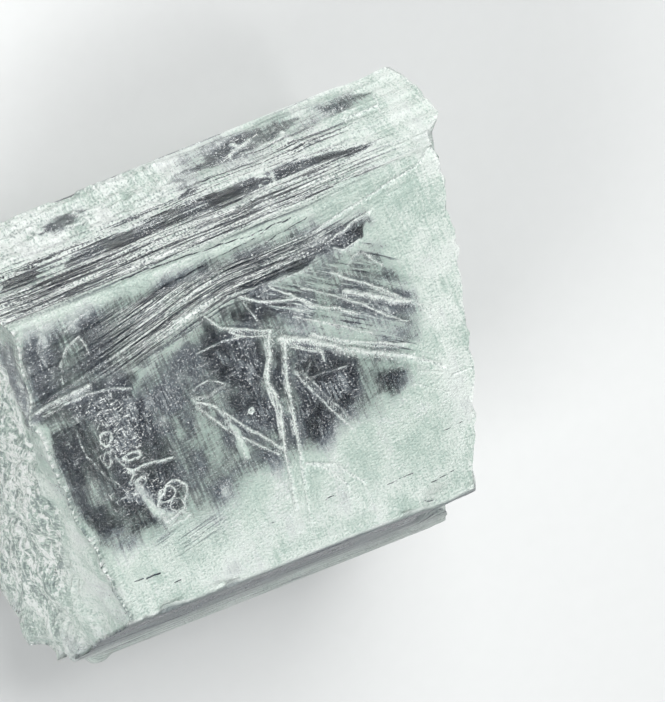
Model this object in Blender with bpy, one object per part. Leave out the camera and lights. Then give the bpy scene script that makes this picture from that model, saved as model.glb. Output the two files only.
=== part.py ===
# Aquamarine crystal: a short six-sided prism, broken at both ends, lying on one flat face.
# X runs along the crystal's long axis, Z is up. Sizes below are in millimetres.
import math
import random

import bmesh
import bpy
from mathutils import Matrix, Vector, noise

MM = 0.001
SIN60 = math.sin(math.radians(60))

# Cross-section: six sides meeting at 120 degrees
HEIGHT = 20.0          # rest face to wide top face
TOP_WIDTH = 22.4       # wide top face
FRONT_BEVEL = 6.7      # narrow face beside the top, +Y side
BACK_BEVEL = 12.0      # face beside the top, -Y side
TOP_Y = -10.02         # where the wide top face begins
RISE = 0.55            # height of the overgrowth above the wide face, at its thick end
FRONT_SPLAY = 0.010    # each flank opens outwards by this share of the distance along the crystal
BACK_SPLAY = 0.018

# Long axis
BLANK_START = -20.0
BLANK_END = 18.0
GRID_PITCH = 0.95      # facet size of the broken ends

# Broken right end: how far it reaches, from the -Y side to the +Y side
RIGHT_REACH = ((-16.5, 9.7), (-10.0, 9.9), (-8.0, 10.1), (-6.0, 10.8), (-2.0, 12.1), (3.0, 12.5),
               (9.0, 12.9), (13.3, 13.6), (16.5, 12.3))
RIGHT_BULGE = 1.0      # how much further it reaches at mid height
# Broken left end
LEFT_REACH = 13.4      # at the top face's -Y corner
LEFT_SLANT = 0.11      # per millimetre of Y
LEFT_BULGE = 3.3       # how much further it reaches low down, on the -Y side
LEFT_FLATTEN = 0.09    # less of that bulge per millimetre of Y

# Moves the whole crystal so that its box is centred over the origin
CENTRE_X = 1.23
CENTRE_Y = 0.23

# Growth steps that run the whole length: (start, end, depth) along each side
TOP_STEPS = ((21.05, 21.35, 0.07), (21.7, 22.0, 0.06))
FRONT_STEPS = ((0.55, 0.8, 0.06), (1.0, 1.25, 0.08), (1.55, 1.75, 0.06), (1.95, 2.95, 0.2),
               (3.9, 4.15, 0.08), (4.7, 5.9, 0.14), (6.3, 6.5, 0.05))
FRONT_LOW_STEPS = ((1.2, 1.6, 0.1), (3.0, 4.6, 0.22), (5.2, 5.5, 0.1), (7.4, 9.3, 0.28), (10.2, 10.5, 0.1),
                   (12.0, 13.4, 0.2), (14.6, 14.9, 0.08))
BACK_LOW_STEPS = ((1.4, 2.8, 0.2), (3.6, 3.9, 0.08), (5.4, 7.6, 0.25), (8.9, 9.2, 0.1))
BACK_STEPS = ((1.0, 1.3, 0.08), (2.4, 5.2, 0.24), (6.1, 6.4, 0.1), (8.2, 8.5, 0.1), (10.2, 10.5, 0.07))

# The overgrowth rises evenly from the right end to the left
RISE_START = 16.0
RISE_LENGTH = 37.0
# Fan of overgrowth on the wide face: each line bounds a ledge, with the share of the rise it stands at
FAN = (
    (0.0, ((16.0, 13.0), (8.4, 11.05), (6.0, 10.0), (-0.8, 9.1), (-5.2, 8.7), (-8.9, 7.7), (-21.0, 5.4))),
    (0.45, ((16.0, 13.3), (5.2, 10.6), (-1.8, 9.9), (-7.6, 9.0), (-21.0, 7.6))),
    (0.75, ((16.0, 13.6), (0.6, 11.2), (-6.2, 10.5), (-12.5, 9.7), (-21.0, 9.3))),
)

# Etched channels on the wide face: (points, width)
CHANNELS_A = (
    (((-0.1, 5.0), (-0.4, 3.6), (-0.8, 2.7), (-1.0, 1.9), (-0.7, 0.9), (-0.65, -0.2), (-0.85, -1.6),
      (-1.1, -3.3), (-1.2, -4.6), (-1.3, -6.7)), 0.42),
    (((0.85, 4.3), (0.45, 2.9), (0.2, 1.5), (0.1, -0.2), (-0.05, -1.6), (-0.2, -3.8), (-0.35, -5.3),
      (-0.65, -8.0)), 0.42),
    (((1.9, 3.7), (3.0, 2.9), (4.3, 2.0), (5.9, 1.2), (7.4, 0.4), (9.2, -0.7), (10.2, -1.5)), 0.55),
    (((5.2, 5.6), (6.5, 4.9), (7.7, 4.1), (9.2, 3.3), (10.6, 2.3)), 0.5),
    (((-13.5, 3.5), (-13.3, 1.8), (-12.5, 0.2), (-11.4, -1.3), (-10.6, -2.6)), 0.3),
    (((-4.5, 1.4), (-3.6, -1.2), (-3.6, -2.5)), 0.5),
)
CHANNELS_B = (
    (((-0.3, 5.2), (-1.4, 5.8), (-3.0, 6.4), (-3.9, 7.6)), 0.32),
    (((-5.9, 2.7), (-4.6, 1.6), (-3.2, -0.2), (-2.1, -1.5), (-1.25, -2.5)), 0.28),
    (((1.0, 3.4), (1.9, 2.9), (2.7, 2.4), (2.8, 1.8)), 0.25),
    (((-1.4, 7.9), (0.1, 6.9), (2.1, 6.3), (3.0, 5.5), (4.4, 4.8), (5.6, 3.9)), 0.35),
    (((0.9, 1.6), (1.8, -0.2), (2.6, -1.5), (3.5, -3.1)), 0.26),
    (((-11.0, -0.2), (-9.7, -0.1), (-8.1, -0.3)), 0.3),
    (((0.1, -4.3), (1.4, -5.2), (2.4, -6.8)), 0.3),
)
CHANNELS_C = (
    (((-0.6, 4.8), (-1.6, 5.2), (-2.6, 5.9)), 0.26),
    (((-5.9, 3.3), (-4.6, 3.5), (-3.7, 3.1)), 0.26),
    (((3.3, 7.2), (4.6, 6.5), (5.4, 6.2)), 0.3),
    (((6.1, 7.2), (7.4, 5.9), (8.8, 4.6), (10.2, 3.6)), 0.3),
    (((1.7, 1.1), (3.0, 1.0), (4.2, 0.9)), 0.26),
    (((2.7, -1.8), (3.8, -1.7), (4.4, -1.0)), 0.26),
    (((-5.0, 5.4), (-3.2, 5.6), (-2.3, 5.5)), 0.2),
)
# Closed etch rings on the wide face: (x, y, half-length, half-width, groove width)
RINGS = (
    (-8.8, -3.0, 1.05, 1.25, 0.4),
    (-10.5, 0.75, 0.65, 0.35, 0.3),
    (-11.7, 4.75, 1.0, 0.55, 0.3),
    (-11.8, 2.45, 0.45, 0.45, 0.28),
    (6.4, 9.0, 1.25, 0.45, 0.3),
)
CHANNEL_DEPTH = 0.55   # share of a channel's width
PROUD = 0.03           # how far the middle of a groove cutter stands off its face


def section_corners():
    """Corners of the cross-section as (y, z), clockwise seen from +X."""
    low_front = HEIGHT / SIN60 - FRONT_BEVEL
    shift = low_front - BACK_BEVEL
    lift = RISE / SIN60
    c = Vector((TOP_Y, HEIGHT))
    b = c + Vector((TOP_WIDTH, 0.0))
    a = b + FRONT_BEVEL * Vector((0.5, -SIN60))
    g = a + low_front * Vector((-0.5, -SIN60))
    e = g - Vector((TOP_WIDTH - shift, 0.0))
    d = e + (FRONT_BEVEL + shift) * Vector((-0.5, SIN60))
    return c + lift * Vector((0.5, SIN60)), b + lift * Vector((-0.5, SIN60)), a, g, e, d


def stepped_side(start, end, steps):
    """Points from one corner towards the next, dipping inwards at each growth step."""
    along = (end - start).normalized()
    inward = Vector((along.y, -along.x))
    points = [start]
    for first, last, depth in steps:
        wall = 0.4 * depth
        points.append(start + first * along)
        points.append(start + (first + wall) * along + depth * inward)
        points.append(start + (last - wall) * along + depth * inward)
        points.append(start + last * along)
    return points


def to_object(name, bm, collection):
    """Turn a bmesh in millimetres into a named object, scaled to metres."""
    bmesh.ops.recalc_face_normals(bm, faces=bm.faces)
    bmesh.ops.translate(bm, verts=bm.verts, vec=(CENTRE_X, CENTRE_Y, 0.0))
    mesh = bpy.data.meshes.new(name)
    bm.to_mesh(mesh)
    bm.free()
    obj = bpy.data.objects.new(name, mesh)
    obj.scale = (MM, MM, MM)
    collection.objects.link(obj)
    return obj


def splay(verts):
    """Open the two flanks slightly towards the right end; every side stays flat."""
    for vert in verts:
        share = FRONT_SPLAY if vert.co.y > 0 else -BACK_SPLAY
        vert.co.y += share * (vert.co.x + 14.0)


def extrude_outline(bm, points, travel):
    """Close an outline into one face and extrude it by a travel vector."""
    verts = [bm.verts.new(p) for p in points]
    face = bmesh.ops.contextual_create(bm, geom=verts)["faces"][0]
    swept = bmesh.ops.extrude_face_region(bm, geom=[face], use_keep_orig=True)
    moved = [v for v in swept["geom"] if isinstance(v, bmesh.types.BMVert)]
    bmesh.ops.translate(bm, verts=moved, vec=travel)
    return moved


def prism_blank(collection):
    """The grown prism, longer than needed, with its stepped faces."""
    corners = section_corners()
    steps = (TOP_STEPS, FRONT_STEPS, FRONT_LOW_STEPS, (), BACK_LOW_STEPS, BACK_STEPS)
    outline = []
    for i, side in enumerate(steps):
        outline += stepped_side(corners[i], corners[(i + 1) % 6], side)
    bm = bmesh.new()
    extrude_outline(bm, [(BLANK_START, p.x, p.y) for p in outline], (BLANK_END - BLANK_START, 0, 0))
    splay(bm.verts)
    return to_object("crystal", bm, collection)


def top_height(x, share):
    """Height of a ledge that stands at a share of the full rise."""
    return HEIGHT + share * RISE * (RISE_START - x) / RISE_LENGTH


def shelf_cutter(name, line, share, collection):
    """Takes the wide face down to one ledge of the overgrowth, which rises towards the left end."""
    outline = [(x, y, HEIGHT) for x, y in line] + [(-21.0, -14.0, HEIGHT), (16.0, -14.0, HEIGHT)]
    bm = bmesh.new()
    top = extrude_outline(bm, outline, (0, 0, 4.0))
    for vert in bm.verts:
        if vert not in top:
            vert.co.z = top_height(vert.co.x, share)
    return to_object(name, bm, collection)


def whole_top_cutter(collection):
    """Tilts the highest ledge so that it meets the wide face at the right end."""
    bm = bmesh.new()
    bmesh.ops.create_cube(bm, size=1.0)
    for vert in bm.verts:
        x = 18.0 if vert.co.x > 0 else -21.0
        z = top_height(x, 1.0) if vert.co.z < 0 else HEIGHT + 5.0
        vert.co = Vector((x, 34.0 * vert.co.y, z))
    return to_object("top_plane", bm, collection)


def reach_between(stations, y):
    """Straight-line reading between (y, reach) stations."""
    for (y0, r0), (y1, r1) in zip(stations, stations[1:]):
        if y <= y1:
            break
    share = min(max((y - y0) / (y1 - y0), 0.0), 1.0)
    return r0 + share * (r1 - r0)


def right_break(y, z):
    """X of the right end: oblique, gently swollen, with shallow hackly steps."""
    swell = RIGHT_BULGE * (1.0 - ((z - 10.0) / 10.0) ** 2)
    broad = 0.45 * noise.noise(Vector((0.3 * y, 0.3 * z, 4.0)))
    fine = 0.34 * noise.noise(Vector((0.85 * y, 0.85 * z, 9.0)))
    return reach_between(RIGHT_REACH, y) + swell + broad + fine


def left_break(y, z):
    """X of the left end: swollen low down and coarsely granular."""
    low = (z - 6.0) / 14.0 if z > 6.0 else (6.0 - z) / 20.0
    swell = (LEFT_BULGE - LEFT_FLATTEN * (y + 15.0)) * (1.0 - low ** 2)
    broad = 0.6 * noise.noise(Vector((0.22 * y, 0.3 * z, 17.0)))
    grain = 0.7 * noise.noise(Vector((0.8 * y, 0.8 * z, 23.0)))
    return -(LEFT_REACH + LEFT_SLANT * (y + 9.6) + swell + broad + grain)


def break_cutter(name, surface, outer_x, seed, collection):
    """Block whose inner side is the rough broken surface."""
    rng = random.Random(seed)
    half_y, half_z = 18.0, 12.0
    bm = bmesh.new()
    made = bmesh.ops.create_grid(bm, x_segments=round(2 * half_y / GRID_PITCH),
                                 y_segments=round(2 * half_z / GRID_PITCH), size=1.0)
    for vert in made["verts"]:
        y = half_y * vert.co.x + 0.35 * GRID_PITCH * rng.uniform(-1, 1)
        z = 10.0 + half_z * vert.co.y + 0.35 * GRID_PITCH * rng.uniform(-1, 1)
        vert.co = Vector((surface(y, z), y, z))
    bmesh.ops.triangulate(bm, faces=bm.faces)
    swept = bmesh.ops.extrude_face_region(bm, geom=bm.faces[:], use_keep_orig=True)
    for item in swept["geom"]:
        if isinstance(item, bmesh.types.BMVert):
            item.co.x = outer_x
    return to_object(name, bm, collection)


def add_spindle(bm, centre, along, normal, length, width, depth):
    """A four-sided spindle lying in a face: it leaves a V groove that runs out at both ends."""
    made = bmesh.ops.create_uvsphere(bm, u_segments=4, v_segments=2, radius=1.0)
    along = along.normalized()
    across = normal.cross(along).normalized()
    turn = Matrix((along, across, normal)).transposed().to_4x4()
    shape = Matrix.Diagonal((0.5 * length, 0.5 * width, depth, 1.0))
    place = Matrix.Translation(centre + PROUD * normal)
    bmesh.ops.transform(bm, matrix=place @ turn @ shape, verts=made["verts"])


def striation_cutter(name, corner, seed, rows, collection):
    """Growth grooves along one side face, spaced and broken up unevenly."""
    rng = random.Random(seed)
    corners = section_corners()
    start, end = corners[corner], corners[(corner + 1) % 6]
    side = end - start
    along = side.normalized()
    normal = Vector((0.0, -along.y, along.x))
    bm = bmesh.new()
    for row in range(rows):
        place = start + side * ((row + 0.5 + rng.uniform(-0.2, 0.2)) / rows)
        middle = rng.uniform(-11.0, 9.0)
        length = rng.uniform(9.0, 22.0)
        add_spindle(bm, Vector((middle, place.x, place.y)), Vector((1, 0, 0)), normal, length,
                    rng.uniform(0.22, 0.4), rng.uniform(0.1, 0.2))
    splay(bm.verts)
    return to_object(name, bm, collection)


def fan_cutter(collection):
    """Oblique grooves that spread leftwards from a point on the wide face."""
    rng = random.Random(5)
    bm = bmesh.new()
    for row in range(9):
        angle = math.radians(2.0 + 2.1 * row)
        along = Vector((-math.cos(angle), -math.sin(angle), 0.0))
        reach = rng.uniform(8.0, 14.0)
        centre = Vector((9.0, 9.9, HEIGHT)) + along * (5.0 + reach)
        centre.z = HEIGHT + (0.12 if row < 4 else 0.0)
        add_spindle(bm, centre, along, Vector((0, 0, 1)), rng.uniform(7.0, 12.0), 0.3, 0.26)
    return to_object("fan_grooves", bm, collection)


def groove_mesh(points, width, closed):
    """Diamond-section tube along a line on the wide face, thin at its two ends."""
    curve = bpy.data.curves.new("groove", "CURVE")
    curve.dimensions = "3D"
    curve.bevel_depth = 0.5 * width
    curve.bevel_resolution = 0
    curve.use_fill_caps = not closed
    spline = curve.splines.new("POLY")
    spline.points.add(len(points) - 1)
    for i, (x, y) in enumerate(points):
        spline.points[i].co = (x, y, 0.0, 1.0)
        at_end = not closed and i in (0, len(points) - 1)
        spline.points[i].radius = 0.3 if at_end else 1.0
    spline.use_cyclic_u = closed
    holder = bpy.data.objects.new("groove", curve)
    mesh = bpy.data.meshes.new_from_object(holder)
    bpy.data.objects.remove(holder)
    bpy.data.curves.remove(curve)
    return mesh


def channel_cutter(name, lines, collection):
    """Etched channels on the wide face."""
    bm = bmesh.new()
    for points, width in lines:
        mesh = groove_mesh(points, width, False)
        mesh.transform(Matrix.Diagonal((1.0, 1.0, 2.0 * CHANNEL_DEPTH, 1.0)))
        bm.from_mesh(mesh)
        bpy.data.meshes.remove(mesh)
    bmesh.ops.remove_doubles(bm, verts=bm.verts, dist=0.0001)
    bmesh.ops.translate(bm, verts=bm.verts, vec=(0, 0, HEIGHT + PROUD))
    return to_object(name, bm, collection)


def ring_cutter(collection):
    """Closed etch rings, each an uneven loop."""
    rng = random.Random(12)
    bm = bmesh.new()
    for x, y, half_x, half_y, width in RINGS:
        points = []
        for k in range(9):
            turn = 2 * math.pi * k / 9
            wobble = rng.uniform(0.8, 1.15)
            points.append((x + half_x * wobble * math.cos(turn), y + half_y * wobble * math.sin(turn)))
        mesh = groove_mesh(points, width, True)
        bm.from_mesh(mesh)
        bpy.data.meshes.remove(mesh)
    bmesh.ops.translate(bm, verts=bm.verts, vec=(0, 0, HEIGHT + PROUD))
    return to_object("etch_rings", bm, collection)


def chip_cutter(collection):
    """Small chips along the two top edges, the notch under the right corner and the broken left corner."""
    rng = random.Random(31)
    corners = section_corners()
    bm = bmesh.new()
    back_edge = Vector((TOP_Y, HEIGHT))
    front_edge = Vector((TOP_Y + TOP_WIDTH, HEIGHT))
    for edge, count in ((back_edge, 5), (front_edge, 4), (corners[2], 6)):
        for k in range(count):
            x = -12.5 + 23.0 * (k + rng.uniform(0.3, 0.7)) / count
            add_spindle(bm, Vector((x, edge.x + 0.08, edge.y + 0.05)), Vector((1, 0, 0)),
                        Vector((0, 0, 1)), rng.uniform(0.8, 2.4), rng.uniform(0.35, 0.8),
                        rng.uniform(0.2, 0.4))
    add_spindle(bm, Vector((11.3, -12.7, 15.6)), Vector((1, 0, 0)), Vector((0, 0, 1)), 4.4, 2.0, 2.2)
    add_spindle(bm, Vector((-16.3, -15.7, 9.9)), Vector((1, 0, 0)), Vector((0, 0, 1)), 6.2, 3.6, 2.0)
    splay(bm.verts)
    return to_object("chips", bm, collection)


def corner_lump(collection):
    """Small rounded knob left standing at the low left corner."""
    bm = bmesh.new()
    made = bmesh.ops.create_icosphere(bm, subdivisions=2, radius=1.0)
    shape = Matrix.Translation((-13.2, -15.4, 9.9)) @ Matrix.Diagonal((0.8, 0.6, 0.7, 1.0))
    bmesh.ops.transform(bm, matrix=shape, verts=made["verts"])
    return to_object("corner_lump", bm, collection)


def combine(body, cutter, operation):
    """Exact Boolean between the crystal and one other shape."""
    step = body.modifiers.new(cutter.name, "BOOLEAN")
    step.operation = operation
    step.solver = "EXACT"
    step.object = cutter
    cutter.display_type = "WIRE"
    cutter.hide_render = True


def aquamarine():
    """Pale blue-green beryl, mostly frosted by etching."""
    mat = bpy.data.materials.new("aquamarine")
    mat.use_nodes = True
    shader = mat.node_tree.nodes["Principled BSDF"]
    shader.inputs["Base Color"].default_value = (0.56, 0.67, 0.62, 1.0)
    shader.inputs["Metallic"].default_value = 0.0
    shader.inputs["Roughness"].default_value = 0.32
    shader.inputs["IOR"].default_value = 1.575
    mat.diffuse_color = (0.56, 0.67, 0.62, 1.0)
    return mat


def build():
    for old in list(bpy.data.objects):
        bpy.data.objects.remove(old)
    parts = bpy.data.collections.new("aquamarine_crystal")
    cutters = bpy.data.collections.new("cutters")
    bpy.context.scene.collection.children.link(parts)
    bpy.context.scene.collection.children.link(cutters)
    cutters.hide_render = True

    crystal = prism_blank(parts)
    combine(crystal, whole_top_cutter(cutters), "DIFFERENCE")
    for i, (share, line) in enumerate(FAN):
        combine(crystal, shelf_cutter("ledge_%d" % (i + 1), line, share, cutters), "DIFFERENCE")
    combine(crystal, break_cutter("right_break", right_break, 24.0, 3, cutters), "DIFFERENCE")
    combine(crystal, break_cutter("left_break", left_break, -26.0, 8, cutters), "DIFFERENCE")
    combine(crystal, striation_cutter("front_striations", 1, 41, 12, cutters), "DIFFERENCE")
    combine(crystal, striation_cutter("front_low_striations", 2, 42, 9, cutters), "DIFFERENCE")
    combine(crystal, striation_cutter("back_low_striations", 4, 43, 7, cutters), "DIFFERENCE")
    combine(crystal, striation_cutter("back_striations", 5, 44, 8, cutters), "DIFFERENCE")
    combine(crystal, fan_cutter(cutters), "DIFFERENCE")
    for name, lines in (("channels_a", CHANNELS_A), ("channels_b", CHANNELS_B), ("channels_c", CHANNELS_C)):
        combine(crystal, channel_cutter(name, lines, cutters), "DIFFERENCE")
    combine(crystal, ring_cutter(cutters), "DIFFERENCE")
    combine(crystal, chip_cutter(cutters), "DIFFERENCE")
    combine(crystal, corner_lump(cutters), "UNION")
    crystal.data.materials.append(aquamarine())


build()
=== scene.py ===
import math

import bpy
import numpy as np
from mathutils import Matrix, Vector


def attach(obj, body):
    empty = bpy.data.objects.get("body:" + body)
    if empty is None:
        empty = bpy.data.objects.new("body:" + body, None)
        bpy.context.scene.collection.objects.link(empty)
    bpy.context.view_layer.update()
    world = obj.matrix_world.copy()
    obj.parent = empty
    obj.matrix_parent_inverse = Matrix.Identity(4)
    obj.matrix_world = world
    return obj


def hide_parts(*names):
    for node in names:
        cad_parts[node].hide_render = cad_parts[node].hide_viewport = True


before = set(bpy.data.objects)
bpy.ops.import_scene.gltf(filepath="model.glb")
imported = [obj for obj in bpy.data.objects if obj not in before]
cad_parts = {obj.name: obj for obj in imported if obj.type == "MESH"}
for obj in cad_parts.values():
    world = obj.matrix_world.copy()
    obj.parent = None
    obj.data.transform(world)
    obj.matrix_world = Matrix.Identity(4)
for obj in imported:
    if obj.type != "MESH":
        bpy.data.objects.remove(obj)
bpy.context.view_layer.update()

bl_info = {
    "name": "Etched Aquamarine Crystal",
    "version": (1, 0, 0),
    "blender": (4, 5, 0),
    "location": "3D View > Sidebar > Crystal",
    "description": "Builds a short aquamarine crystal with etched faces and broken ends",
    "category": "Add Mesh",
}

MM = 0.001

# The crystal's own zero in the frame, in millimetres
CENTRE = np.array([1.23, 0.23, 0.0])

# Cross-section at right angles to the crystal's long axis (X), in millimetres
HEIGHT = 20.0
TOP_WIDTH = 22.4
FRONT_BEVEL = 6.7
BACK_BEVEL = 12.0
TOP_Y = -10.02
FRONT_SPLAY = 0.010
BACK_SPLAY = 0.018
# The back bevel leans: its upper edge lies further in, its lower edge further out
BACK_LEAN = (0.38, 0.20)
SIN60 = math.sin(math.radians(60))

# Overgrowth on the wide face
RISE = 0.55
RISE_START = 16.0
RISE_LENGTH = 37.0
FAN = (
    (0.45, ((16.0, 13.0), (8.4, 11.05), (6.0, 10.0), (-0.8, 9.1), (-5.2, 8.7), (-8.9, 7.7), (-21.0, 5.4))),
    (0.30, ((16.0, 13.3), (5.2, 10.6), (-1.8, 9.9), (-7.6, 9.0), (-21.0, 7.6))),
    (0.25, ((16.0, 13.6), (0.6, 11.2), (-6.2, 10.5), (-12.5, 9.7), (-21.0, 9.3))),
)

# Broken ends: how far they reach at the top face's edge, and how they swell below it
RIGHT_REACH = (
    (-16.5, 9.7), (-11.0, 9.9), (-9.8, 10.35), (-8.0, 10.5), (-6.0, 11.0), (-2.0, 12.2), (3.0, 12.6),
    (9.0, 12.9), (12.2, 13.5), (13.6, 13.95), (14.7, 13.6), (15.6, 12.7), (16.5, 11.7),
)
RIGHT_BULGE = 1.0
LEFT_REACH = 13.4
LEFT_SLANT = 0.11
LEFT_BULGE = 3.3
LEFT_FLATTEN = 0.09
# Extra reach of the left break at the wide face, fading to none low down
LEFT_FILL = (
    (-16.0, 0.0), (-6.0, 0.1), (-4.0, 0.3), (-1.3, 0.75), (2.4, 0.85), (5.3, 0.8), (7.4, 0.65),
    (9.4, 0.4), (11.5, 0.3), (16.5, 0.1),
)

# Channels are this deep, and their rims this high, per millimetre of width. The rim's crest lies RIM_AT
# half-widths from the middle. FAR_OFF half-widths stand for a place with no channel near.
GROOVE_DEPTH = 0.45
RIM_HEIGHT = 0.14
RIM_AT = 1.9
FAR_OFF = 5.0
# Etched channels on the wide face: width, strength, then points (x, y)
CHANNELS = (
    (0.22, 1.0, ((-0.1, 5.0), (-0.4, 3.6), (-0.8, 2.7), (-1.0, 1.9), (-0.7, 0.9), (-0.65, -0.2),
                 (-0.85, -1.6), (-1.1, -3.3), (-1.2, -4.6))),
    (0.24, 0.7, ((-1.2, -4.6), (-1.3, -6.7))),
    (0.15, 0.8, ((-0.5, 4.5), (-0.65, 3.4), (-1.15, 2.3), (-1.05, 0.9), (-0.95, -0.6), (-1.1, -1.9))),
    (0.22, 0.95, ((0.85, 4.3), (0.45, 2.9), (0.2, 1.5), (0.1, -0.2), (-0.05, -1.6), (-0.2, -3.8),
                  (-0.35, -5.3))),
    (0.16, 0.6, ((-0.4, -5.3), (-0.65, -8.0))),
    (0.16, 0.6, ((0.55, 4.1), (0.2, 2.9), (-0.05, 1.5), (-0.15, -0.4), (-0.3, -2.0))),
    (0.44, 1.0, ((0.5, 4.25), (1.9, 3.7), (3.0, 2.9), (4.3, 2.0), (5.9, 1.2), (7.4, 0.4), (8.4, -0.15))),
    (0.26, 0.8, ((8.2, -0.1), (9.2, -0.7), (10.2, -1.5))),
    (0.18, 0.9, ((2.4, 3.8), (4.6, 2.5), (6.6, 1.5), (8.2, 0.8))),
    (0.34, 0.95, ((5.2, 5.6), (6.5, 4.9), (7.7, 4.1), (9.2, 3.3))),
    (0.20, 0.6, ((9.2, 3.3), (10.6, 2.3))),
    (0.14, 0.6, ((-13.5, 3.5), (-13.3, 1.8), (-12.5, 0.2), (-11.4, -1.3), (-10.3, -2.4), (-9.3, -4.4))),
    (0.16, 0.6, ((-4.5, 1.4), (-4.0, -0.2), (-3.6, -1.2), (-3.6, -2.5))),
    (0.20, 0.85, ((0.0, 5.0), (-1.4, 5.7), (-3.0, 6.35), (-3.9, 7.6))),
    (0.16, 0.75, ((-0.2, 4.8), (-1.6, 5.25), (-2.6, 5.95))),
    (0.14, 0.6, ((-0.5, 5.6), (-0.9, 6.6), (-1.3, 7.6))),
    (0.20, 0.85, ((-5.9, 2.7), (-4.6, 1.6), (-3.2, -0.2), (-2.1, -1.5), (-1.1, -2.7))),
    (0.17, 0.75, ((-5.8, 2.2), (-4.95, 0.9), (-4.1, -0.3), (-2.9, -1.5), (-1.5, -2.9))),
    (0.15, 0.7, ((-5.9, 3.3), (-4.6, 3.45), (-3.7, 2.9))),
    (0.15, 0.6, ((-5.9, 3.3), (-5.8, 2.9), (-4.9, 2.55), (-3.7, 2.85))),
    (0.16, 0.8, ((1.0, 3.5), (1.9, 2.9), (2.7, 2.5), (2.8, 1.8))),
    (0.18, 1.0, ((-1.4, 7.9), (0.1, 6.9), (2.1, 6.4), (3.0, 5.5), (4.4, 4.8), (5.6, 3.9))),
    (0.15, 0.9, ((0.6, 7.8), (1.4, 7.1), (2.3, 6.3), (3.4, 5.4))),
    (0.17, 0.95, ((4.6, 7.1), (6.1, 6.0), (7.9, 4.5), (9.7, 2.9), (10.2, 2.0))),
    (0.16, 0.8, ((2.6, 6.9), (4.2, 5.8), (5.8, 4.6), (7.4, 3.2), (8.6, 2.2))),
    (0.15, 0.8, ((1.6, 5.3), (3.2, 4.4), (4.8, 3.3), (6.4, 2.2))),
    (0.17, 0.8, ((7.0, 7.6), (7.4, 6.9), (7.9, 6.4))),
    (0.15, 0.6, ((5.8, 7.2), (6.6, 7.7), (7.4, 7.3))),
    (0.18, 0.7, ((0.8, 2.0), (1.7, 0.0), (2.55, -1.5), (3.45, -3.1))),
    (0.15, 0.6, ((1.25, 1.8), (2.15, 0.0), (2.95, -1.4), (3.95, -3.0))),
    (0.13, 0.55, ((1.2, 1.2), (2.6, 1.1), (4.2, 0.9))),
    (0.13, 0.35, ((2.8, -1.85), (3.9, -1.8), (4.4, -1.0), (4.1, 0.0), (2.6, 0.1))),
    (0.13, 0.5, ((1.6, 2.3), (1.2, 2.6), (0.95, 2.3))),
    (0.13, 0.5, ((1.9, 2.0), (1.5, 1.6), (1.1, 1.7))),
    (0.24, 0.85, ((0.1, -4.2), (1.4, -5.1), (2.3, -6.7))),
    (0.20, 0.8, ((0.1, -4.2), (1.8, -4.9), (3.4, -6.9))),
    (0.20, 0.6, ((0.0, -4.3), (-0.3, -5.6))),
    (0.14, 0.6, ((-5.0, 5.4), (-3.2, 5.6), (-2.0, 5.4))),
    (0.13, 0.4, ((-5.2, 4.6), (-4.2, 4.65))),
    (0.13, 0.4, ((-5.0, 3.9), (-3.9, 3.95))),
    (0.16, 0.85, ((-11.0, -0.2), (-9.7, -0.1), (-8.1, -0.35))),
    (0.18, 0.7, ((-11.7, 1.6), (-11.3, 0.6), (-10.7, -0.4), (-11.1, -0.9))),
    (0.16, 0.6, ((-10.0, -0.6), (-10.6, -1.0), (-11.0, -1.7))),
    (0.18, 0.7, ((-13.5, 8.1), (-12.7, 9.2), (-11.8, 9.5), (-11.5, 8.3))),
    (0.15, 0.6, ((-14.3, 11.8), (-14.2, 10.6), (-14.6, 9.6), (-14.3, 8.4))),
    (0.15, 0.6, ((-13.4, 7.9), (-13.6, 6.6), (-13.1, 5.5))),
    (0.15, 0.7, ((-12.6, 10.2), (-11.0, 10.9))),
    (0.13, 0.5, ((-13.2, 5.3), (-12.9, 4.2), (-10.8, 4.15), (-11.2, 5.2))),
    (0.13, 0.5, ((-11.8, 4.0), (-12.2, 3.2), (-11.6, 2.0), (-11.6, 0.6))),
    (0.13, 0.5, ((9.4, 10.8), (9.9, 8.4), (9.8, 7.4))),
    (0.13, 0.5, ((9.0, 10.2), (9.2, 8.8))),
    (0.13, 0.5, ((10.2, 4.8), (11.4, 2.6), (11.6, 2.2))),
    (0.14, 0.9, ((10.6, -2.4), (12.0, -2.4))),
    (0.13, 0.7, ((8.0, -1.8), (10.2, -3.3))),
    (0.13, 0.6, ((8.6, -1.2), (10.0, -1.9))),
    (0.16, 0.9, ((4.2, 10.1), (6.4, 10.6), (8.6, 11.0), (11.4, 11.6), (13.6, 12.4))),
    (0.16, 0.9, ((4.9, 9.05), (6.3, 9.45), (7.2, 9.8), (8.0, 9.85))),
    (0.15, 0.8, ((5.1, 8.6), (5.9, 8.2), (7.0, 8.5))),
    (0.15, 0.8, ((-6.5, 8.0), (-3.6, 8.1), (-1.6, 8.25), (-0.4, 8.0))),
    (0.14, 0.7, ((-0.4, 8.05), (1.8, 8.0), (3.6, 7.9))),
    (0.30, 0.75, ((-15.8, 5.75), (-14.6, 5.95), (-13.2, 6.0), (-12.0, 6.1))),
    (0.20, 0.65, ((-15.2, 5.35), (-13.8, 5.55), (-12.4, 5.65), (-10.8, 5.45), (-9.6, 5.0))),
)
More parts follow.
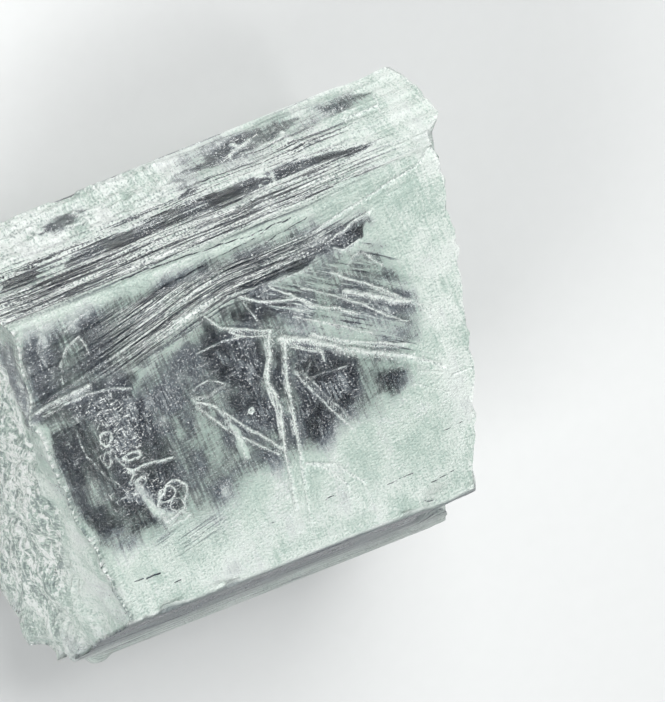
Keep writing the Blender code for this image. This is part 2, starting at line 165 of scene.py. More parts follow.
# Closed etch rings on the wide face: x, y, half-length, half-width, groove width, strength
RINGS = (
    (-8.8, -3.0, 1.0, 1.15, 0.16, 0.9),
    (-9.1, -2.5, 0.5, 0.55, 0.12, 0.8),
    (-8.6, -3.4, 0.4, 0.45, 0.12, 0.8),
    (-10.5, 0.75, 0.55, 0.26, 0.14, 1.0),
    (-10.4, -1.1, 0.4, 0.25, 0.15, 0.7),
    (-11.8, 2.45, 0.45, 0.40, 0.15, 0.8),
    (-12.1, 1.1, 0.22, 0.5, 0.12, 0.7),
    (-8.7, -4.3, 0.6, 0.3, 0.12, 0.7),
    (-2.5, 0.55, 0.14, 0.2, 0.12, 1.0),
)
# Marks on the narrow bevel face: width, strength, then points (x, distance below the top edge)
BEVEL_MARKS = (
    (0.40, 0.95, ((-12.9, 5.3), (-12.0, 5.9), (-11.5, 5.2), (-11.7, 4.5))),
    (0.34, 0.95, ((-12.3, 6.1), (-11.2, 5.6), (-10.4, 6.0))),
    (0.42, 0.95, ((-8.7, 5.3), (-8.2, 4.6), (-8.2, 3.9), (-7.3, 3.1))),
    (0.22, 0.8, ((-9.6, 4.5), (-8.4, 4.5))),
    (0.20, 0.8, ((-11.2, 5.6), (-9.8, 5.8))),
    (0.20, 0.9, ((1.5, 4.7), (1.7, 5.1), (2.1, 5.1))),
    (0.30, 1.0, ((2.1, 5.6), (2.4, 5.2), (3.3, 5.5))),
    (0.40, 1.0, ((3.6, 4.9), (4.4, 4.5), (5.1, 4.9), (5.3, 4.1))),
    (0.36, 1.0, ((5.3, 5.1), (5.6, 4.2), (6.1, 3.6), (6.7, 3.8))),
    (0.18, 0.8, ((6.5, 4.9), (7.0, 4.3))),
    (0.18, 0.9, ((9.0, 4.2), (11.4, 4.2))),
    (0.18, 0.9, ((11.3, 3.6), (11.6, 5.2))),
    (0.16, 0.8, ((9.1, 4.3), (9.6, 4.8))),
    (0.20, 0.9, ((-1.0, 3.3), (4.0, 3.1), (9.0, 2.2), (10.2, 1.8))),
    (0.22, 0.9, ((4.5, 2.9), (8.0, 2.7), (9.3, 2.25))),
    (0.26, 1.0, ((2.7, 1.8), (3.1, 1.7), (3.3, 2.6))),
    (0.18, 0.8, ((-6.5, 1.6), (-3.0, 1.5), (-0.5, 1.2))),
    (0.16, 0.8, ((-5.0, 0.75), (-1.0, 0.8), (2.0, 0.85))),
    (0.14, 0.7, ((10.0, 1.3), (12.5, 1.2), (14.0, 1.0))),
    (0.14, 0.7, ((-4.0, 2.4), (-1.2, 2.45))),
)
# Short cuts on the wide face, drawn dark in painted shade: width, strength, then points (x, y)
CUTS = (
    (0.14, 1.0, ((-12.5, -7.1), (-11.9, -7.2))),
    (0.18, 1.0, ((-11.7, -7.3), (-11.2, -7.2), (-10.8, -7.3))),
    (0.10, 1.0, ((-14.8, -5.7), (-14.0, -5.2))),
    (0.12, 1.0, ((-10.1, -8.3), (-9.6, -8.25))),
    (0.14, 1.0, ((-8.4, 11.95), (-5.6, 11.95), (-3.2, 11.75), (0.0, 11.5), (3.0, 11.55))),
    (0.10, 1.0, ((-11.0, 12.3), (-7.0, 12.4), (-3.0, 12.3))),
    (0.10, 1.0, ((-6.0, 10.4), (-3.0, 10.75))),
    (0.14, 1.0, ((-8.2, 10.0), (-6.0, 10.4), (-3.2, 10.8))),
    (0.10, 1.0, ((-5.6, 9.0), (-2.0, 9.6), (2.0, 9.85))),
    (0.12, 1.0, ((-4.0, 9.6), (-1.0, 10.0))),
    (0.10, 1.0, ((0.0, 10.4), (4.0, 11.2))),
    (0.10, 1.0, ((-2.0, 11.0), (1.0, 11.3))),
    (0.10, 1.0, ((4.7, -7.55), (6.6, -7.5))),
    (0.12, 1.0, ((6.9, -9.6), (7.8, -9.7))),
    (0.10, 1.0, ((-3.3, -7.0), (-2.6, -7.1))),
    (0.10, 1.0, ((0.6, -6.9), (1.3, -6.8))),
    (0.08, 1.0, ((9.2, -5.6), (10.6, -5.5))),
    (0.08, 1.0, ((7.6, -8.6), (9.6, -8.4))),
)

# Broken corners and one lump: centre (x, y, z), radius, then the shift at the centre
DENTS = (
    ((-16.2, -15.9, 9.7), 2.2, (0.4, 0.85, -0.1)),
    ((-13.2, -16.1, 9.7), 0.8, (0.0, -0.35, -0.1)),
    ((10.6, -12.9, 15.6), 2.3, (-1.5, 0.9, -0.3)),
    ((8.0, -10.0, 19.8), 1.1, (0.0, -0.3, -0.35)),
    ((11.2, 15.9, 14.4), 1.2, (0.0, -0.12, 0.0)),
    ((-9.6, 13.6, 19.4), 0.8, (0.0, -0.15, -0.2)),
    ((13.4, 13.0, 19.8), 1.3, (-0.5, -0.1, -0.4)),
)

# Areas on the wide face: clearness, softness of the edge, then a closed outline (x, y)
TOP_CLEAR = (
    (0.58, 1.40, ((-15.6, 5.6), (-12.0, 5.6), (-9.0, 5.9), (-7.0, 6.2), (-5.5, 7.3), (-4.0, 8.1),
                  (0.0, 8.3), (5.0, 8.4), (7.8, 7.6), (8.2, 6.2), (9.3, 4.4), (9.6, 2.8), (8.4, 0.2),
                  (7.9, -1.2), (6.6, -2.3), (4.6, -2.9), (2.5, -3.3), (0.0, -3.6), (-3.0, -3.9),
                  (-5.5, -4.6), (-7.5, -5.0), (-10.0, -4.7), (-13.0, -4.7), (-14.6, -4.2), (-15.4, -1.5),
                  (-15.8, 2.0))),
    (0.96, 1.00, ((-5.0, 4.2), (-5.1, 5.4), (-4.5, 6.8), (-4.1, 7.8), (-3.4, 7.4), (-2.9, 6.4), (-1.2, 5.4),
                  (-0.3, 4.8), (-0.6, 3.4), (-1.0, 2.2), (-1.1, 1.2), (-2.0, 1.0), (-3.6, 2.4),
                  (-4.6, 3.4))),
    (0.80, 0.90, ((-5.5, 2.6), (-1.0, 2.2), (-0.8, 0.0), (-1.0, -2.4), (-2.2, -1.2), (-3.4, 0.1),
                  (-4.6, 1.8))),
    (1.00, 0.85, ((0.9, 3.6), (1.8, 3.3), (3.0, 2.6), (4.4, 1.6), (5.0, 0.9), (4.6, -0.6), (3.8, -1.6),
                  (2.6, -2.2), (1.5, -2.9), (0.3, -3.1), (0.2, -0.5), (0.5, 2.0))),
    (0.80, 0.22, ((-0.3, 4.2), (0.4, 3.6), (0.1, 0.0), (-0.2, -2.8), (-0.7, -2.6), (-0.5, 0.0), (-0.8, 1.2),
                  (-0.7, 2.2))),
    (0.80, 0.90, ((-15.6, 4.6), (-13.0, 4.9), (-11.9, 3.4), (-11.4, 1.2), (-11.2, -1.2), (-11.3, -3.6),
                  (-14.0, -4.2), (-14.9, -3.0), (-15.5, 0.0))),
    (0.80, 1.00, ((-12.6, 5.2), (-10.6, 5.2), (-8.6, 4.2), (-7.6, 1.5), (-7.3, -2.0), (-7.6, -4.4),
                  (-10.5, -4.2), (-12.2, -4.0), (-12.6, 0.0))),
    (1.15, 0.10, ((5.0, 8.85), (5.5, 9.15), (6.6, 9.45), (7.4, 9.6), (7.35, 8.75), (6.6, 8.4), (5.9, 8.35),
                  (5.3, 8.6))),
    (0.80, 0.80, ((5.2, 0.6), (6.8, 0.0), (8.0, -0.5), (7.6, -1.4), (6.6, -2.2), (5.4, -2.2), (5.0, -0.8))),
    (0.85, 0.50, ((-3.4, 7.9), (-1.0, 8.1), (1.6, 7.7), (3.4, 6.9), (3.2, 5.8), (1.2, 5.5), (-1.2, 5.8),
                  (-2.6, 6.6))),
    (0.85, 0.25, ((-7.0, 8.0), (-3.0, 8.9), (0.0, 9.3), (3.0, 9.3), (4.9, 9.0), (4.8, 8.3), (1.0, 8.2),
                  (-3.0, 8.1), (-6.0, 7.6))),
    (0.64, 0.90, ((-16.2, 10.9), (-12.0, 10.7), (-9.0, 11.0), (-3.0, 11.2), (3.0, 10.8), (7.5, 10.2),
                  (8.0, 9.5), (5.0, 8.3), (-4.0, 8.0), (-7.0, 6.2), (-9.0, 5.9), (-12.0, 5.6),
                  (-15.8, 5.6))),
    (0.66, 0.80, ((-15.8, 9.9), (-12.0, 9.9), (-9.0, 10.4), (-4.0, 11.0), (-4.0, 10.4), (-7.0, 9.4),
                  (-8.0, 8.0), (-9.0, 6.2), (-13.0, 6.2), (-15.6, 6.4))),
    (0.72, 0.90, ((-15.8, 4.0), (-12.5, 4.2), (-9.0, 4.0), (-8.6, 6.4), (-12.0, 6.6), (-15.8, 6.4))),
    (0.70, 0.35, ((-16.2, 10.2), (-14.6, 10.4), (-14.0, 8.0), (-14.3, 5.4), (-15.6, 5.4), (-16.0, 8.0))),
)
TOP_FROST = (
    (0.85, 0.15, ((-4.25, 0.5), (-3.7, -0.5), (-3.3, -1.6), (-3.3, -2.6), (-3.7, -2.3), (-4.1, -1.2))),
    (0.80, 0.20, ((-10.6, -1.3), (-10.0, -1.6), (-8.9, -4.0), (-9.3, -4.5), (-9.9, -3.4))),
    (0.42, 1.00, ((-13.9, 0.0), (-12.9, 0.4), (-12.3, -0.4), (-12.8, -1.3), (-13.8, -1.0))),
    (0.45, 0.50, ((0.8, 5.6), (3.4, 5.0), (6.0, 3.4), (8.4, 1.6), (8.0, 1.0), (4.4, 2.6), (1.4, 4.0))),
)
BEVEL_CLEAR = (
    (0.50, 0.50, ((-17.0, -0.5), (-17.0, 2.0), (-6.0, 2.0), (2.0, 1.7), (6.0, 1.2), (9.0, 0.5),
                  (8.0, -0.5))),
    (0.30, 0.40, ((-2.5, 3.8), (4.0, 3.6), (7.5, 4.2), (9.0, 5.8), (4.0, 6.5), (-1.5, 6.2))),
    (1.00, 0.10, ((-10.2, 2.0), (-10.2, 2.75), (-6.0, 2.8), (-5.0, 3.0), (-1.0, 3.0), (2.4, 2.85),
                  (2.8, 2.5), (2.6, 1.95), (0.0, 1.75), (-3.0, 1.85), (-6.0, 1.85))),
    (1.00, 0.12, ((3.1, 1.95), (3.2, 2.8), (5.0, 2.9), (7.6, 2.6), (9.6, 2.0), (9.6, 1.75), (7.0, 1.8),
                  (5.0, 1.95))),
    (0.75, 0.15, ((7.4, 1.9), (8.2, 2.05), (9.0, 1.8), (8.8, 1.45), (8.0, 1.4), (7.2, 1.6))),
    (0.95, 0.15, ((-15.0, 2.1), (-14.2, 3.1), (-13.0, 3.3), (-12.2, 2.9), (-12.0, 2.2), (-13.5, 2.0))),
    (0.66, 0.20, ((-0.8, 5.0), (-0.6, 5.6), (1.0, 5.9), (3.0, 6.2), (5.5, 6.1), (7.0, 5.8), (6.0, 5.3),
                  (5.2, 5.0), (3.6, 4.9), (2.4, 4.45), (1.6, 4.5), (0.2, 4.8))),
    (0.62, 0.40, ((8.0, 5.9), (11.3, 6.1), (11.4, 5.2), (9.0, 4.7), (8.0, 5.1))),
    (0.62, 0.30, ((-11.2, 4.6), (-11.0, 5.2), (-9.9, 5.6), (-8.3, 5.3), (-8.3, 4.5), (-9.8, 4.4))),
    (0.80, 0.12, ((-2.6, 3.3), (-2.3, 3.8), (-1.4, 3.6), (-1.2, 3.2))),
    (0.72, 0.15, ((-15.8, 0.7), (-15.0, 1.95), (-6.0, 1.85), (-3.0, 1.4), (1.5, 1.1), (0.0, 0.9),
                  (-5.0, 0.75))),
    (0.62, 0.20, ((-6.0, 0.0), (-5.0, 0.45), (0.0, 0.4), (4.0, 0.35), (5.0, 0.0))),
)
BACK_CLEAR = (
    (0.95, 1.20, ((-15.0, 0.6), (-15.0, 5.6), (-8.0, 6.6), (4.0, 6.2), (9.0, 5.4), (10.5, 2.0),
                  (8.0, 0.5))),
)


# Growth lines above the line FAN_EDGE (x, y) slide up by FAN_SLIDE (x, shift). Slanted ones fall by SLANT
# per millimetre of X. A column of pits runs along PIT_COLUMN (y, x).
FAN_EDGE = ((-18.0, 4.6), (-9.0, 6.4), (-1.0, 8.2), (6.0, 9.2), (16.0, 12.4))
FAN_SLIDE = ((-18.0, -3.9), (-4.0, -0.5), (-2.0, -0.2), (4.0, -0.02), (6.0, 0.15), (14.0, 2.1))
SLANT = 0.62
PIT_COLUMN = ((-5.0, -8.8), (0.0, -10.2), (5.0, -11.8))
# Growth steps of the narrow bevel face: start and end below its top edge, then how far it sinks there
BEVEL_STEPS = (
    (0.55, 0.8, 0.06), (1.0, 1.25, 0.08), (1.55, 1.75, 0.06), (1.95, 2.95, 0.18), (3.9, 4.15, 0.06),
    (4.7, 5.9, 0.12), (6.3, 6.5, 0.05),
)

# Faces are counted round the section: wide face, narrow bevel, front flank, rest face, back flank, back bevel
WIDE, BEVEL, REST, BACK = 0, 1, 3, 5
# Spacing of the samples across each face; only the faces that show are sampled finely
SPACING = (0.094, 0.118, 0.8, 1.6, 0.7, 0.42)
# Rings of samples along the sides, and from the rim of each break to its middle
SIDE_RINGS = 224
LEFT_RINGS = 30
RIGHT_RINGS = 16

# What the finish reads at each point, three values to an attribute:
# etch, aside, beside, force: distance and offset to the nearest channel, and that one's strength
# clear, grit, frost_and_highlight: share of clear window, of granular break and of brighter frost, partly
# painted highlight
# streak, fan, slant, slide: where the three kinds of growth line show, and the shift of those in the fan
# comb, fleck, cut, edge, deep: fine cross lines, etched flecks, cuts in painted shade, worn edges, the back's
# painted dark foot
# mottle, lumps: slow and coarse unevenness of the whole stone
MARKS = ("etch", "clear", "grit", "streak", "fan", "slant", "comb", "fleck", "frost_and_highlight", "mottle", "lumps", "cut",
         "aside", "beside", "edge", "force", "slide", "deep")
GROUPS = ("finish", "lines", "touches", "clouds", "channel", "extra")
AT = {name: number for number, name in enumerate(MARKS)}

# Millimetres to one unit of the skin map, and where the sides and the two breaks lie on it
MAP_UNIT = 100.0
SIDES_AT = (0.20, 0.05)
LEFT_AT = (0.60, 0.10)
RIGHT_AT = (0.60, 0.40)

# Sizes of the finish in millimetres. Real growth lines and etch grains are a few hundredths wide, too fine
# to show in the render, so they are drawn as coarse as this.
LINE_WIDTH = 0.16
SLANT_WIDTH = 0.20
COMB_WIDTH = 0.18
ETCH_GRAIN = 0.14
BERYL_IOR = 1.575
POLISH = 0.05
FROST_ROUGHNESS = 0.34
# The paper's fibre is too fine to show as well, and its mottle is drawn this wide
PAPER_MOTTLE = 10.0 / 9.0

# Stage in metres: half the floor, the gap under the crystal, then place and size of each softbox
FLOOR_HALF = 1.2
FLOOR_GAP = 0.00005
LIGHTS_AIM = (0.0, 0.0, 0.012)
SOFTBOXES = {
    "key": ((0.10, 0.26, 0.30), 0.30),
    "fill": ((-0.34, -0.10, 0.22), 0.26),
    "glint": ((0.21, -0.11, 0.40), 0.12),
}
SKY_COLOUR = (0.9, 0.95, 1.0, 1.0)
# Camera: how it leans along and across the crystal and rolls, in degrees, and the point it looks at, in the
# crystal's millimetres. One row of the picture covers ROW metres of the wide face.
LEAN, ACROSS, ROLL = 16.6, 24.8, 22.0
LOOK_AT = (4.48, 0.83, 16.97)
ROW = 0.0000615
PICTURE_ROWS = 702
SENSOR = 36.0


def hex_linear(text):
    """sRGB hex to linear red, green, blue: ((c + 0.055) / 1.055) ** 2.4 above the toe."""
    values = [int(text[i:i + 2], 16) / 255 for i in (1, 3, 5)]
    return tuple(v / 12.92 if v <= 0.04045 else ((v + 0.055) / 1.055) ** 2.4 for v in values)


def soft_step(low, high, value):
    """0 below low, 1 above high and 3t^2 - 2t^3 between them."""
    t = np.clip((value - low) / (high - low), 0.0, 1.0)
    return t * t * (3.0 - 2.0 * t)


def lattice(cell, seed):
    """A fixed value from 0 to 1 for each whole-number cell, from shifted and multiplied integers."""
    n = cell[..., 0] * 73856093 ^ cell[..., 1] * 19349663 ^ cell[..., 2] * 83492791 ^ seed * 9176263
    n = (n ^ (n >> 13)) * 1274126177 & 0x7FFFFFFF
    return ((n ^ (n >> 15)) & 0xFFFFFF) / float(0xFFFFFF)


def cloud(x, y, z, seed, octaves=3):
    """Value noise from -1 to 1: corner values blended by 3t^2 - 2t^3, each octave half as wide and high."""
    total, height = 0.0, 0.0
    for octave in range(octaves):
        scale = 2.0 ** octave
        p = np.stack(np.broadcast_arrays(x * scale, y * scale, z * scale), axis=-1)
        whole = np.floor(p).astype(np.int64)
        t = p - whole
        t = t * t * (3.0 - 2.0 * t)
        value = 0.0
        for corner in range(8):
            step = np.array([corner & 1, corner >> 1 & 1, corner >> 2 & 1])
            weight = np.prod(np.where(step, t, 1.0 - t), axis=-1)
            value = value + weight * lattice(whole + step, seed + octave)
        total = total + (2.0 * value - 1.0) / scale
        height += 1.0 / scale
    return total / height


def read_off(table, place):
    """Straight-line reading of a table of (place, value) pairs, its end values held beyond it."""
    places, values = zip(*table)
    return np.interp(place, places, values)


def from_segment(x, y, start, end):
    """Offset from a segment ab: p - a - t (b - a) with t = clamp((p - a).(b - a) / |b - a|^2, 0, 1)."""
    (ax, ay), (bx, by) = start, end
    dx, dy = bx - ax, by - ay
    t = np.clip(((x - ax) * dx + (y - ay) * dy) / (dx * dx + dy * dy), 0.0, 1.0)
    return x - ax - t * dx, y - ay - t * dy


def line_distance(x, y, lines):
    """Offset to the nearest line, its length, and that line's width and strength.

    The offset is that from the line's nearest segment, divided by half the line's width."""
    near = np.full(x.shape, FAR_OFF)
    offset = np.full(x.shape + (2,), FAR_OFF)
    width_there = np.full(x.shape, 0.2)
    strength_there = np.ones(x.shape)
    for width, strength, points in lines:
        for start, end in zip(points, points[1:]):
            way = np.stack(from_segment(x, y, start, end), axis=-1) / (0.5 * width)
            share = np.hypot(way[..., 0], way[..., 1])
            closer = share < near
            width_there = np.where(closer, width, width_there)
            strength_there = np.where(closer, strength, strength_there)
            offset = np.where(closer[..., None], way, offset)
            near = np.where(closer, share, near)
    return offset, near, width_there, strength_there


def ring_points(x, y, half_x, half_y, seed):
    """Uneven loop: radius 1 + 0.16 sin(2a + s) + 0.1 sin(5a + 2s) times the half sizes."""
    turn = np.linspace(0.0, 2.0 * math.pi, 15)
    swell = 1.0 + 0.16 * np.sin(2 * turn + seed) + 0.1 * np.sin(5 * turn + 2 * seed)
    swell[-1] = swell[0]
    return tuple(zip(x + half_x * swell * np.cos(turn), y + half_y * swell * np.sin(turn)))


def area_field(x, y, areas):
    """Strongest of strength * soft step(signed distance / softness) over closed outlines.

    The distance is to the nearest side, and positive where a ray along X crosses an odd number of sides."""
    field = np.zeros(x.shape)
    for strength, soft, outline in areas:
        near = np.full(x.shape, 99.0)
        inside = np.zeros(x.shape, dtype=bool)
        for (ax, ay), (bx, by) in zip(outline, outline[1:] + outline[:1]):
            near = np.minimum(near, np.hypot(*from_segment(x, y, (ax, ay), (bx, by))))
            if by != ay:
                inside ^= ((ay > y) != (by > y)) & (x < ax + (y - ay) * (bx - ax) / (by - ay))
        field = np.maximum(field, strength * soft_step(-soft, soft, np.where(inside, near, -near)))
    return np.clip(field, 0.0, 1.0)


def rise_at(x):
    """Height of the highest ledge: RISE times the share of the way from the right end."""
    return RISE * np.clip((RISE_START - x) / RISE_LENGTH, 0.0, 1.0)


def ledges(x, y):
    """Overgrowth height: the rise times the sum of share * soft step(Y past the line) over the ledges."""
    height = np.zeros(x.shape)
    for share, line in FAN:
        height += share * soft_step(-0.06, 0.1, y - read_off(line[::-1], x))
    return rise_at(x) * height


def right_end(y, z):
    """X of the right break without its relief: its reach at Y plus a swell 1 - ((z - 10) / 10)^2."""
    return read_off(RIGHT_REACH, y) + RIGHT_BULGE * (1.0 - ((z - 10.0) / 10.0) ** 2)


def left_end(y, z):
    """X of the left break without its relief: -(reach + slant * (y + 9.6) + swell + fill * h^2).

    The swell is (bulge - flatten * (y + 15)) * (1 - h^2), and h runs from 0 at z = 6 to 1 at z = 20."""
    height = np.where(z > 6.0, (z - 6.0) / 14.0, (6.0 - z) / 20.0)
    swell = (LEFT_BULGE - LEFT_FLATTEN * (y + 15.0)) * (1.0 - height ** 2)
    return -(LEFT_REACH + LEFT_SLANT * (y + 9.6) + swell + read_off(LEFT_FILL, y) * height ** 2)


def right_rough(y, z):
    """Shallow hackly steps of the right break along X: 0.55 (|slow cloud| - 0.3) + 0.16 * fine cloud."""
    ridge = np.abs(cloud(0.45 * y, 0.45 * z, 0.0, 11, 2))
    return 0.55 * (ridge - 0.3) + 0.16 * cloud(1.7 * y, 1.7 * z, 1.0, 13, 3)


def left_rough(y, z):
    """Granular relief of the left break, outwards: 0.6 * slow cloud + 0.62 (0.35 - |fine cloud|).

    The fine part falls to a fifth near the wide face."""
    lumps = cloud(0.55 * y, 0.7 * z, 2.0, 21, 2)
    grain = np.abs(cloud(1.9 * y, 1.5 * z, 3.0, 23, 3))
    return 0.6 * lumps + 0.62 * (0.35 - grain) * (1.0 - 0.8 * soft_step(15.5, 18.5, z))


def right_break(y, z):
    """X of the right break: its plain end plus its relief."""
    return right_end(y, z) + right_rough(y, z)


def left_break(y, z):
    """X of the left break: its plain end less its relief, since outwards is towards -X."""
    return left_end(y, z) - left_rough(y, z)


class Skin:
    """Around-the-prism samples: which face, how far along it, and the corners they lie between."""

    def __init__(self):
        """Corners from HEIGHT, the widths and 120 degree angles, then evenly spaced samples between them."""
        front_flank = HEIGHT / SIN60 - FRONT_BEVEL
        shift = front_flank - BACK_BEVEL
        top_back = np.array([TOP_Y, HEIGHT])
        top_front = top_back + [TOP_WIDTH, 0.0]
        front = top_front + FRONT_BEVEL * np.array([0.5, -SIN60])
        foot_front = front + front_flank * np.array([-0.5, -SIN60])
        foot_back = foot_front - [TOP_WIDTH - shift, 0.0]
        back = foot_back + (FRONT_BEVEL + shift) * np.array([-0.5, SIN60]) - [BACK_LEAN[1], 0.0]
        top_back = top_back + [BACK_LEAN[0], 0.0]
        self.corners = np.array([top_back, top_front, front, foot_front, foot_back, back])
        sides = np.roll(self.corners, -1, axis=0) - self.corners
        self.lengths = np.linalg.norm(sides, axis=1)
        ways = sides / self.lengths[:, None]
        self.normals = np.stack([-ways[:, 1], ways[:, 0]], axis=1)
        counts = [int(round(length / spacing)) for length, spacing in zip(self.lengths, SPACING)]
        self.face = np.concatenate([np.full(count, face) for face, count in enumerate(counts)])
        self.part = np.concatenate([np.arange(count) / count for count in counts])
        self.along = self.part * self.lengths[self.face]
        self.left = self.lengths[self.face] - self.along
        self.girth = np.concatenate([[0.0], np.cumsum(self.lengths)])
        self.around = self.girth[self.face] + self.along

    def base(self):
        """Section points with no splay and no overgrowth: corner + part * (next corner - corner)."""
        start = self.corners[self.face]
        end = self.corners[(self.face + 1) % 6]
        return start + self.part[:, None] * (end - start)

    def outward(self):
        """Unit normal of each sample: that of its face, or at a corner the sum of both faces' normals."""
        normal = self.normals[self.face]
        before = self.normals[(self.face - 1) % 6]
        normal = np.where((self.along < 1e-6)[:, None], normal + before, normal)
        return normal / np.linalg.norm(normal, axis=1)[:, None]


def splayed(x, y):
    """Y with the flanks opened by FRONT_SPLAY or BACK_SPLAY per millimetre of X."""
    share = soft_step(-1.5, 1.5, y)
    return y + (share * FRONT_SPLAY - (1.0 - share) * BACK_SPLAY) * (x + 14.0)


def channel_marks(offset, near, strength):
    """Marks of the nearest channel: its distance as a share of FAR_OFF, its offset and its strength."""
    return {"etch": near / FAR_OFF, "aside": offset[..., 0], "beside": offset[..., 1], "force": strength}


def top_detail(x, y):
    """Relief of the wide face and the marks its finish needs there.

    With s the distance in half-widths, channels are -depth * exp(-s^2) with rims exp(-3 (s - 1.9)^2).
    Growth lines, slanted lines, grains and pits are clouds, each times the soft steps of its own zone."""
    rings = tuple((width, strength, ring_points(cx, cy, half_x, half_y, seed))
                  for seed, (cx, cy, half_x, half_y, width, strength) in enumerate(RINGS))
    wx = x + 0.10 * cloud(1.6 * x, 1.6 * y, 0.0, 31, 2)
    wy = y + 0.10 * cloud(1.6 * x, 1.6 * y, 5.0, 33, 2)
    offset, near, width, strength = line_distance(wx, wy, CHANNELS + rings)
    relief = -GROOVE_DEPTH * width * np.exp(-near ** 2)
    relief += RIM_HEIGHT * width * np.exp(-3.0 * (near - RIM_AT) ** 2)

    fan_zone = soft_step(-1.2, 0.6, y - read_off(FAN_EDGE, x))
    slide = read_off(FAN_SLIDE, x) * soft_step(12.0, 10.6, y)
    stria = cloud(0.10 * x, 3.4 * (y - slide), 0.0, 35, 3)
    level = cloud(0.07 * x, 3.0 * y, 0.0, 37, 3)
    relief += 0.10 * fan_zone * (stria * soft_step(13.0, 9.0, y) + level * soft_step(9.5, 12.0, y))
    lean = y + SLANT * x
    slant = soft_step(0.2, 1.4, lean - 4.4) * soft_step(8.6, 7.6, y) * soft_step(10.5, 7.0, x) \
        * soft_step(-0.8, 0.8, x)
    relief += 0.09 * slant * cloud(0.25 * x, 2.2 * lean, 0.0, 36, 3)
    relief += 0.018 * cloud(1.9 * x, 1.9 * y, 0.0, 39, 3)
    pitted = soft_step(5.9, 4.6, y) * soft_step(-5.6, -4.2, y) \
        * (0.3 + 0.7 * np.exp(-((x - read_off(PIT_COLUMN, y)) / 1.7) ** 2)) \
        * soft_step(-6.6, -8.4, x) * soft_step(-15.4, -14.4, x)
    relief += 0.09 * pitted * soft_step(0.1, 0.6, cloud(1.3 * x, 1.1 * y, 2.0, 41, 3))

    # The windows' outlines wander, most of all across the slanted lines
    swerve = 2.4 * slant * cloud(0.12 * x, 1.7 * lean, 3.0, 49, 2)
    bent = (x + 0.6 * cloud(0.7 * x, 0.7 * y, 0.0, 43, 3) + swerve,
            y + 0.6 * cloud(0.7 * x, 0.7 * y, 7.0, 45, 3))
    clear = area_field(*bent, TOP_CLEAR) * (1.0 - area_field(*bent, TOP_FROST))
    quiet = soft_step(10.0, 10.4, y) * soft_step(12.3, 11.9, y)
    left_band = x + 0.095 * (y + 9.6)
    back_streaks = 0.4 * soft_step(-4.4, -5.6, y) * soft_step(-7.6, -5.5, y) * soft_step(-11.0, -10.0, x) \
        * soft_step(-5.0, -7.0, x)
    marks = {
        **channel_marks(offset, near, strength),
        "clear": clear,
        "cut": 1.0 - line_distance(wx, wy, CUTS)[1] / 2.0,
        "grit": 0.85 * soft_step(-15.0, -16.0, left_band + 0.35 * cloud(0.8 * x, 0.8 * y, 1.0, 47, 2)),
        "streak": np.maximum(fan_zone * soft_step(11.6, 12.3, y) * soft_step(10.0, 3.0, x), back_streaks),
        "fan": fan_zone * (1.0 - 0.85 * quiet) * soft_step(12.4, 11.0, y) * soft_step(10.0, 3.0, x)
        * soft_step(-13.5, -7.5, x),
        "comb": soft_step(0.15, 0.6, clear) * (1.0 - 0.5 * fan_zone),
        "fleck": np.maximum(pitted, 0.25 * soft_step(0.4, 0.7, clear) * (1.0 - fan_zone)),
        "slant": slant,
        "slide": slide,
        # Whiter frost with painted highlight towards the right end and the back bevel's edge
        "frost_and_highlight": np.maximum(soft_step(8.0, 11.0, x) * 0.6, 0.5 * soft_step(-5.5, -8.5, y)),
    }
    return relief, marks


def bevel_detail(x, v):
    """Relief and marks of the narrow bevel face, v below its top edge: steps, rough patches and etch marks.

    Etch marks rise by 0.3 width * exp(-s^2), and each growth step sinks by its depth between two soft steps
    of v. Low down and to the left lies a crust of 0.36 |slow cloud| + 0.12 (0.4 - |fine cloud|)."""
    offset, near, width, strength = line_distance(x + 0.12 * cloud(1.4 * x, 2.0 * v, 0.0, 51, 2),
                                                  v + 0.12 * cloud(1.4 * x, 2.0 * v, 4.0, 53, 2), BEVEL_MARKS)
    relief = 0.3 * width * np.exp(-near ** 2)
    warp = v + 0.12 * cloud(0.15 * x, 0.8 * v, 0.0, 55, 2)
    for start, end, depth in BEVEL_STEPS:
        down = depth * soft_step(start - 0.05, start + 0.05, warp)
        relief -= down * soft_step(end + 0.05, end - 0.05, warp)
    relief += 0.07 * cloud(0.14 * x, 3.6 * v, 0.0, 57, 3)
    relief += 0.12 * cloud(0.8 * x, 1.4 * v, 0.0, 59, 3) * soft_step(2.9, 4.0, v) * soft_step(12.0, 8.0, x)
    crust = soft_step(3.0, 3.8, v) * soft_step(0.5, -2.5, x)
    relief += crust * (0.36 * np.abs(cloud(1.0 * x, 2.2 * v, 3.0, 65, 3))
                       + 0.12 * (0.4 - np.abs(cloud(2.4 * x, 3.0 * v, 5.0, 67, 2))))
    clear = area_field(x + 1.4 * cloud(0.12 * x, 3.2 * v, 0.0, 61, 3),
                       v + 0.16 * cloud(0.4 * x, 1.2 * v, 7.0, 63, 3), BEVEL_CLEAR)
    streak = soft_step(2.3, 1.6, v) + 0.7 * soft_step(2.6, 3.1, v) * soft_step(5.0, 3.9, v) + 0.25 \
        + 0.3 * soft_step(2.0, -6.0, x)
    marks = {
        **channel_marks(offset, near, strength),
        "clear": clear,
        "streak": (1.0 - 0.75 * crust) * soft_step(13.0, 5.0, x) * streak,
        "comb": 0.5 * soft_step(0.3, 0.8, clear),
        "fleck": soft_step(2.9, 3.4, v) * soft_step(6.5, 5.6, v) * soft_step(12.0, 9.0, x) * (1.0 - crust),
        # Whiter frost with painted highlight over the bevel, most on its crust
        "frost_and_highlight": 0.62 + 0.38 * crust,
    }
    return relief, marks


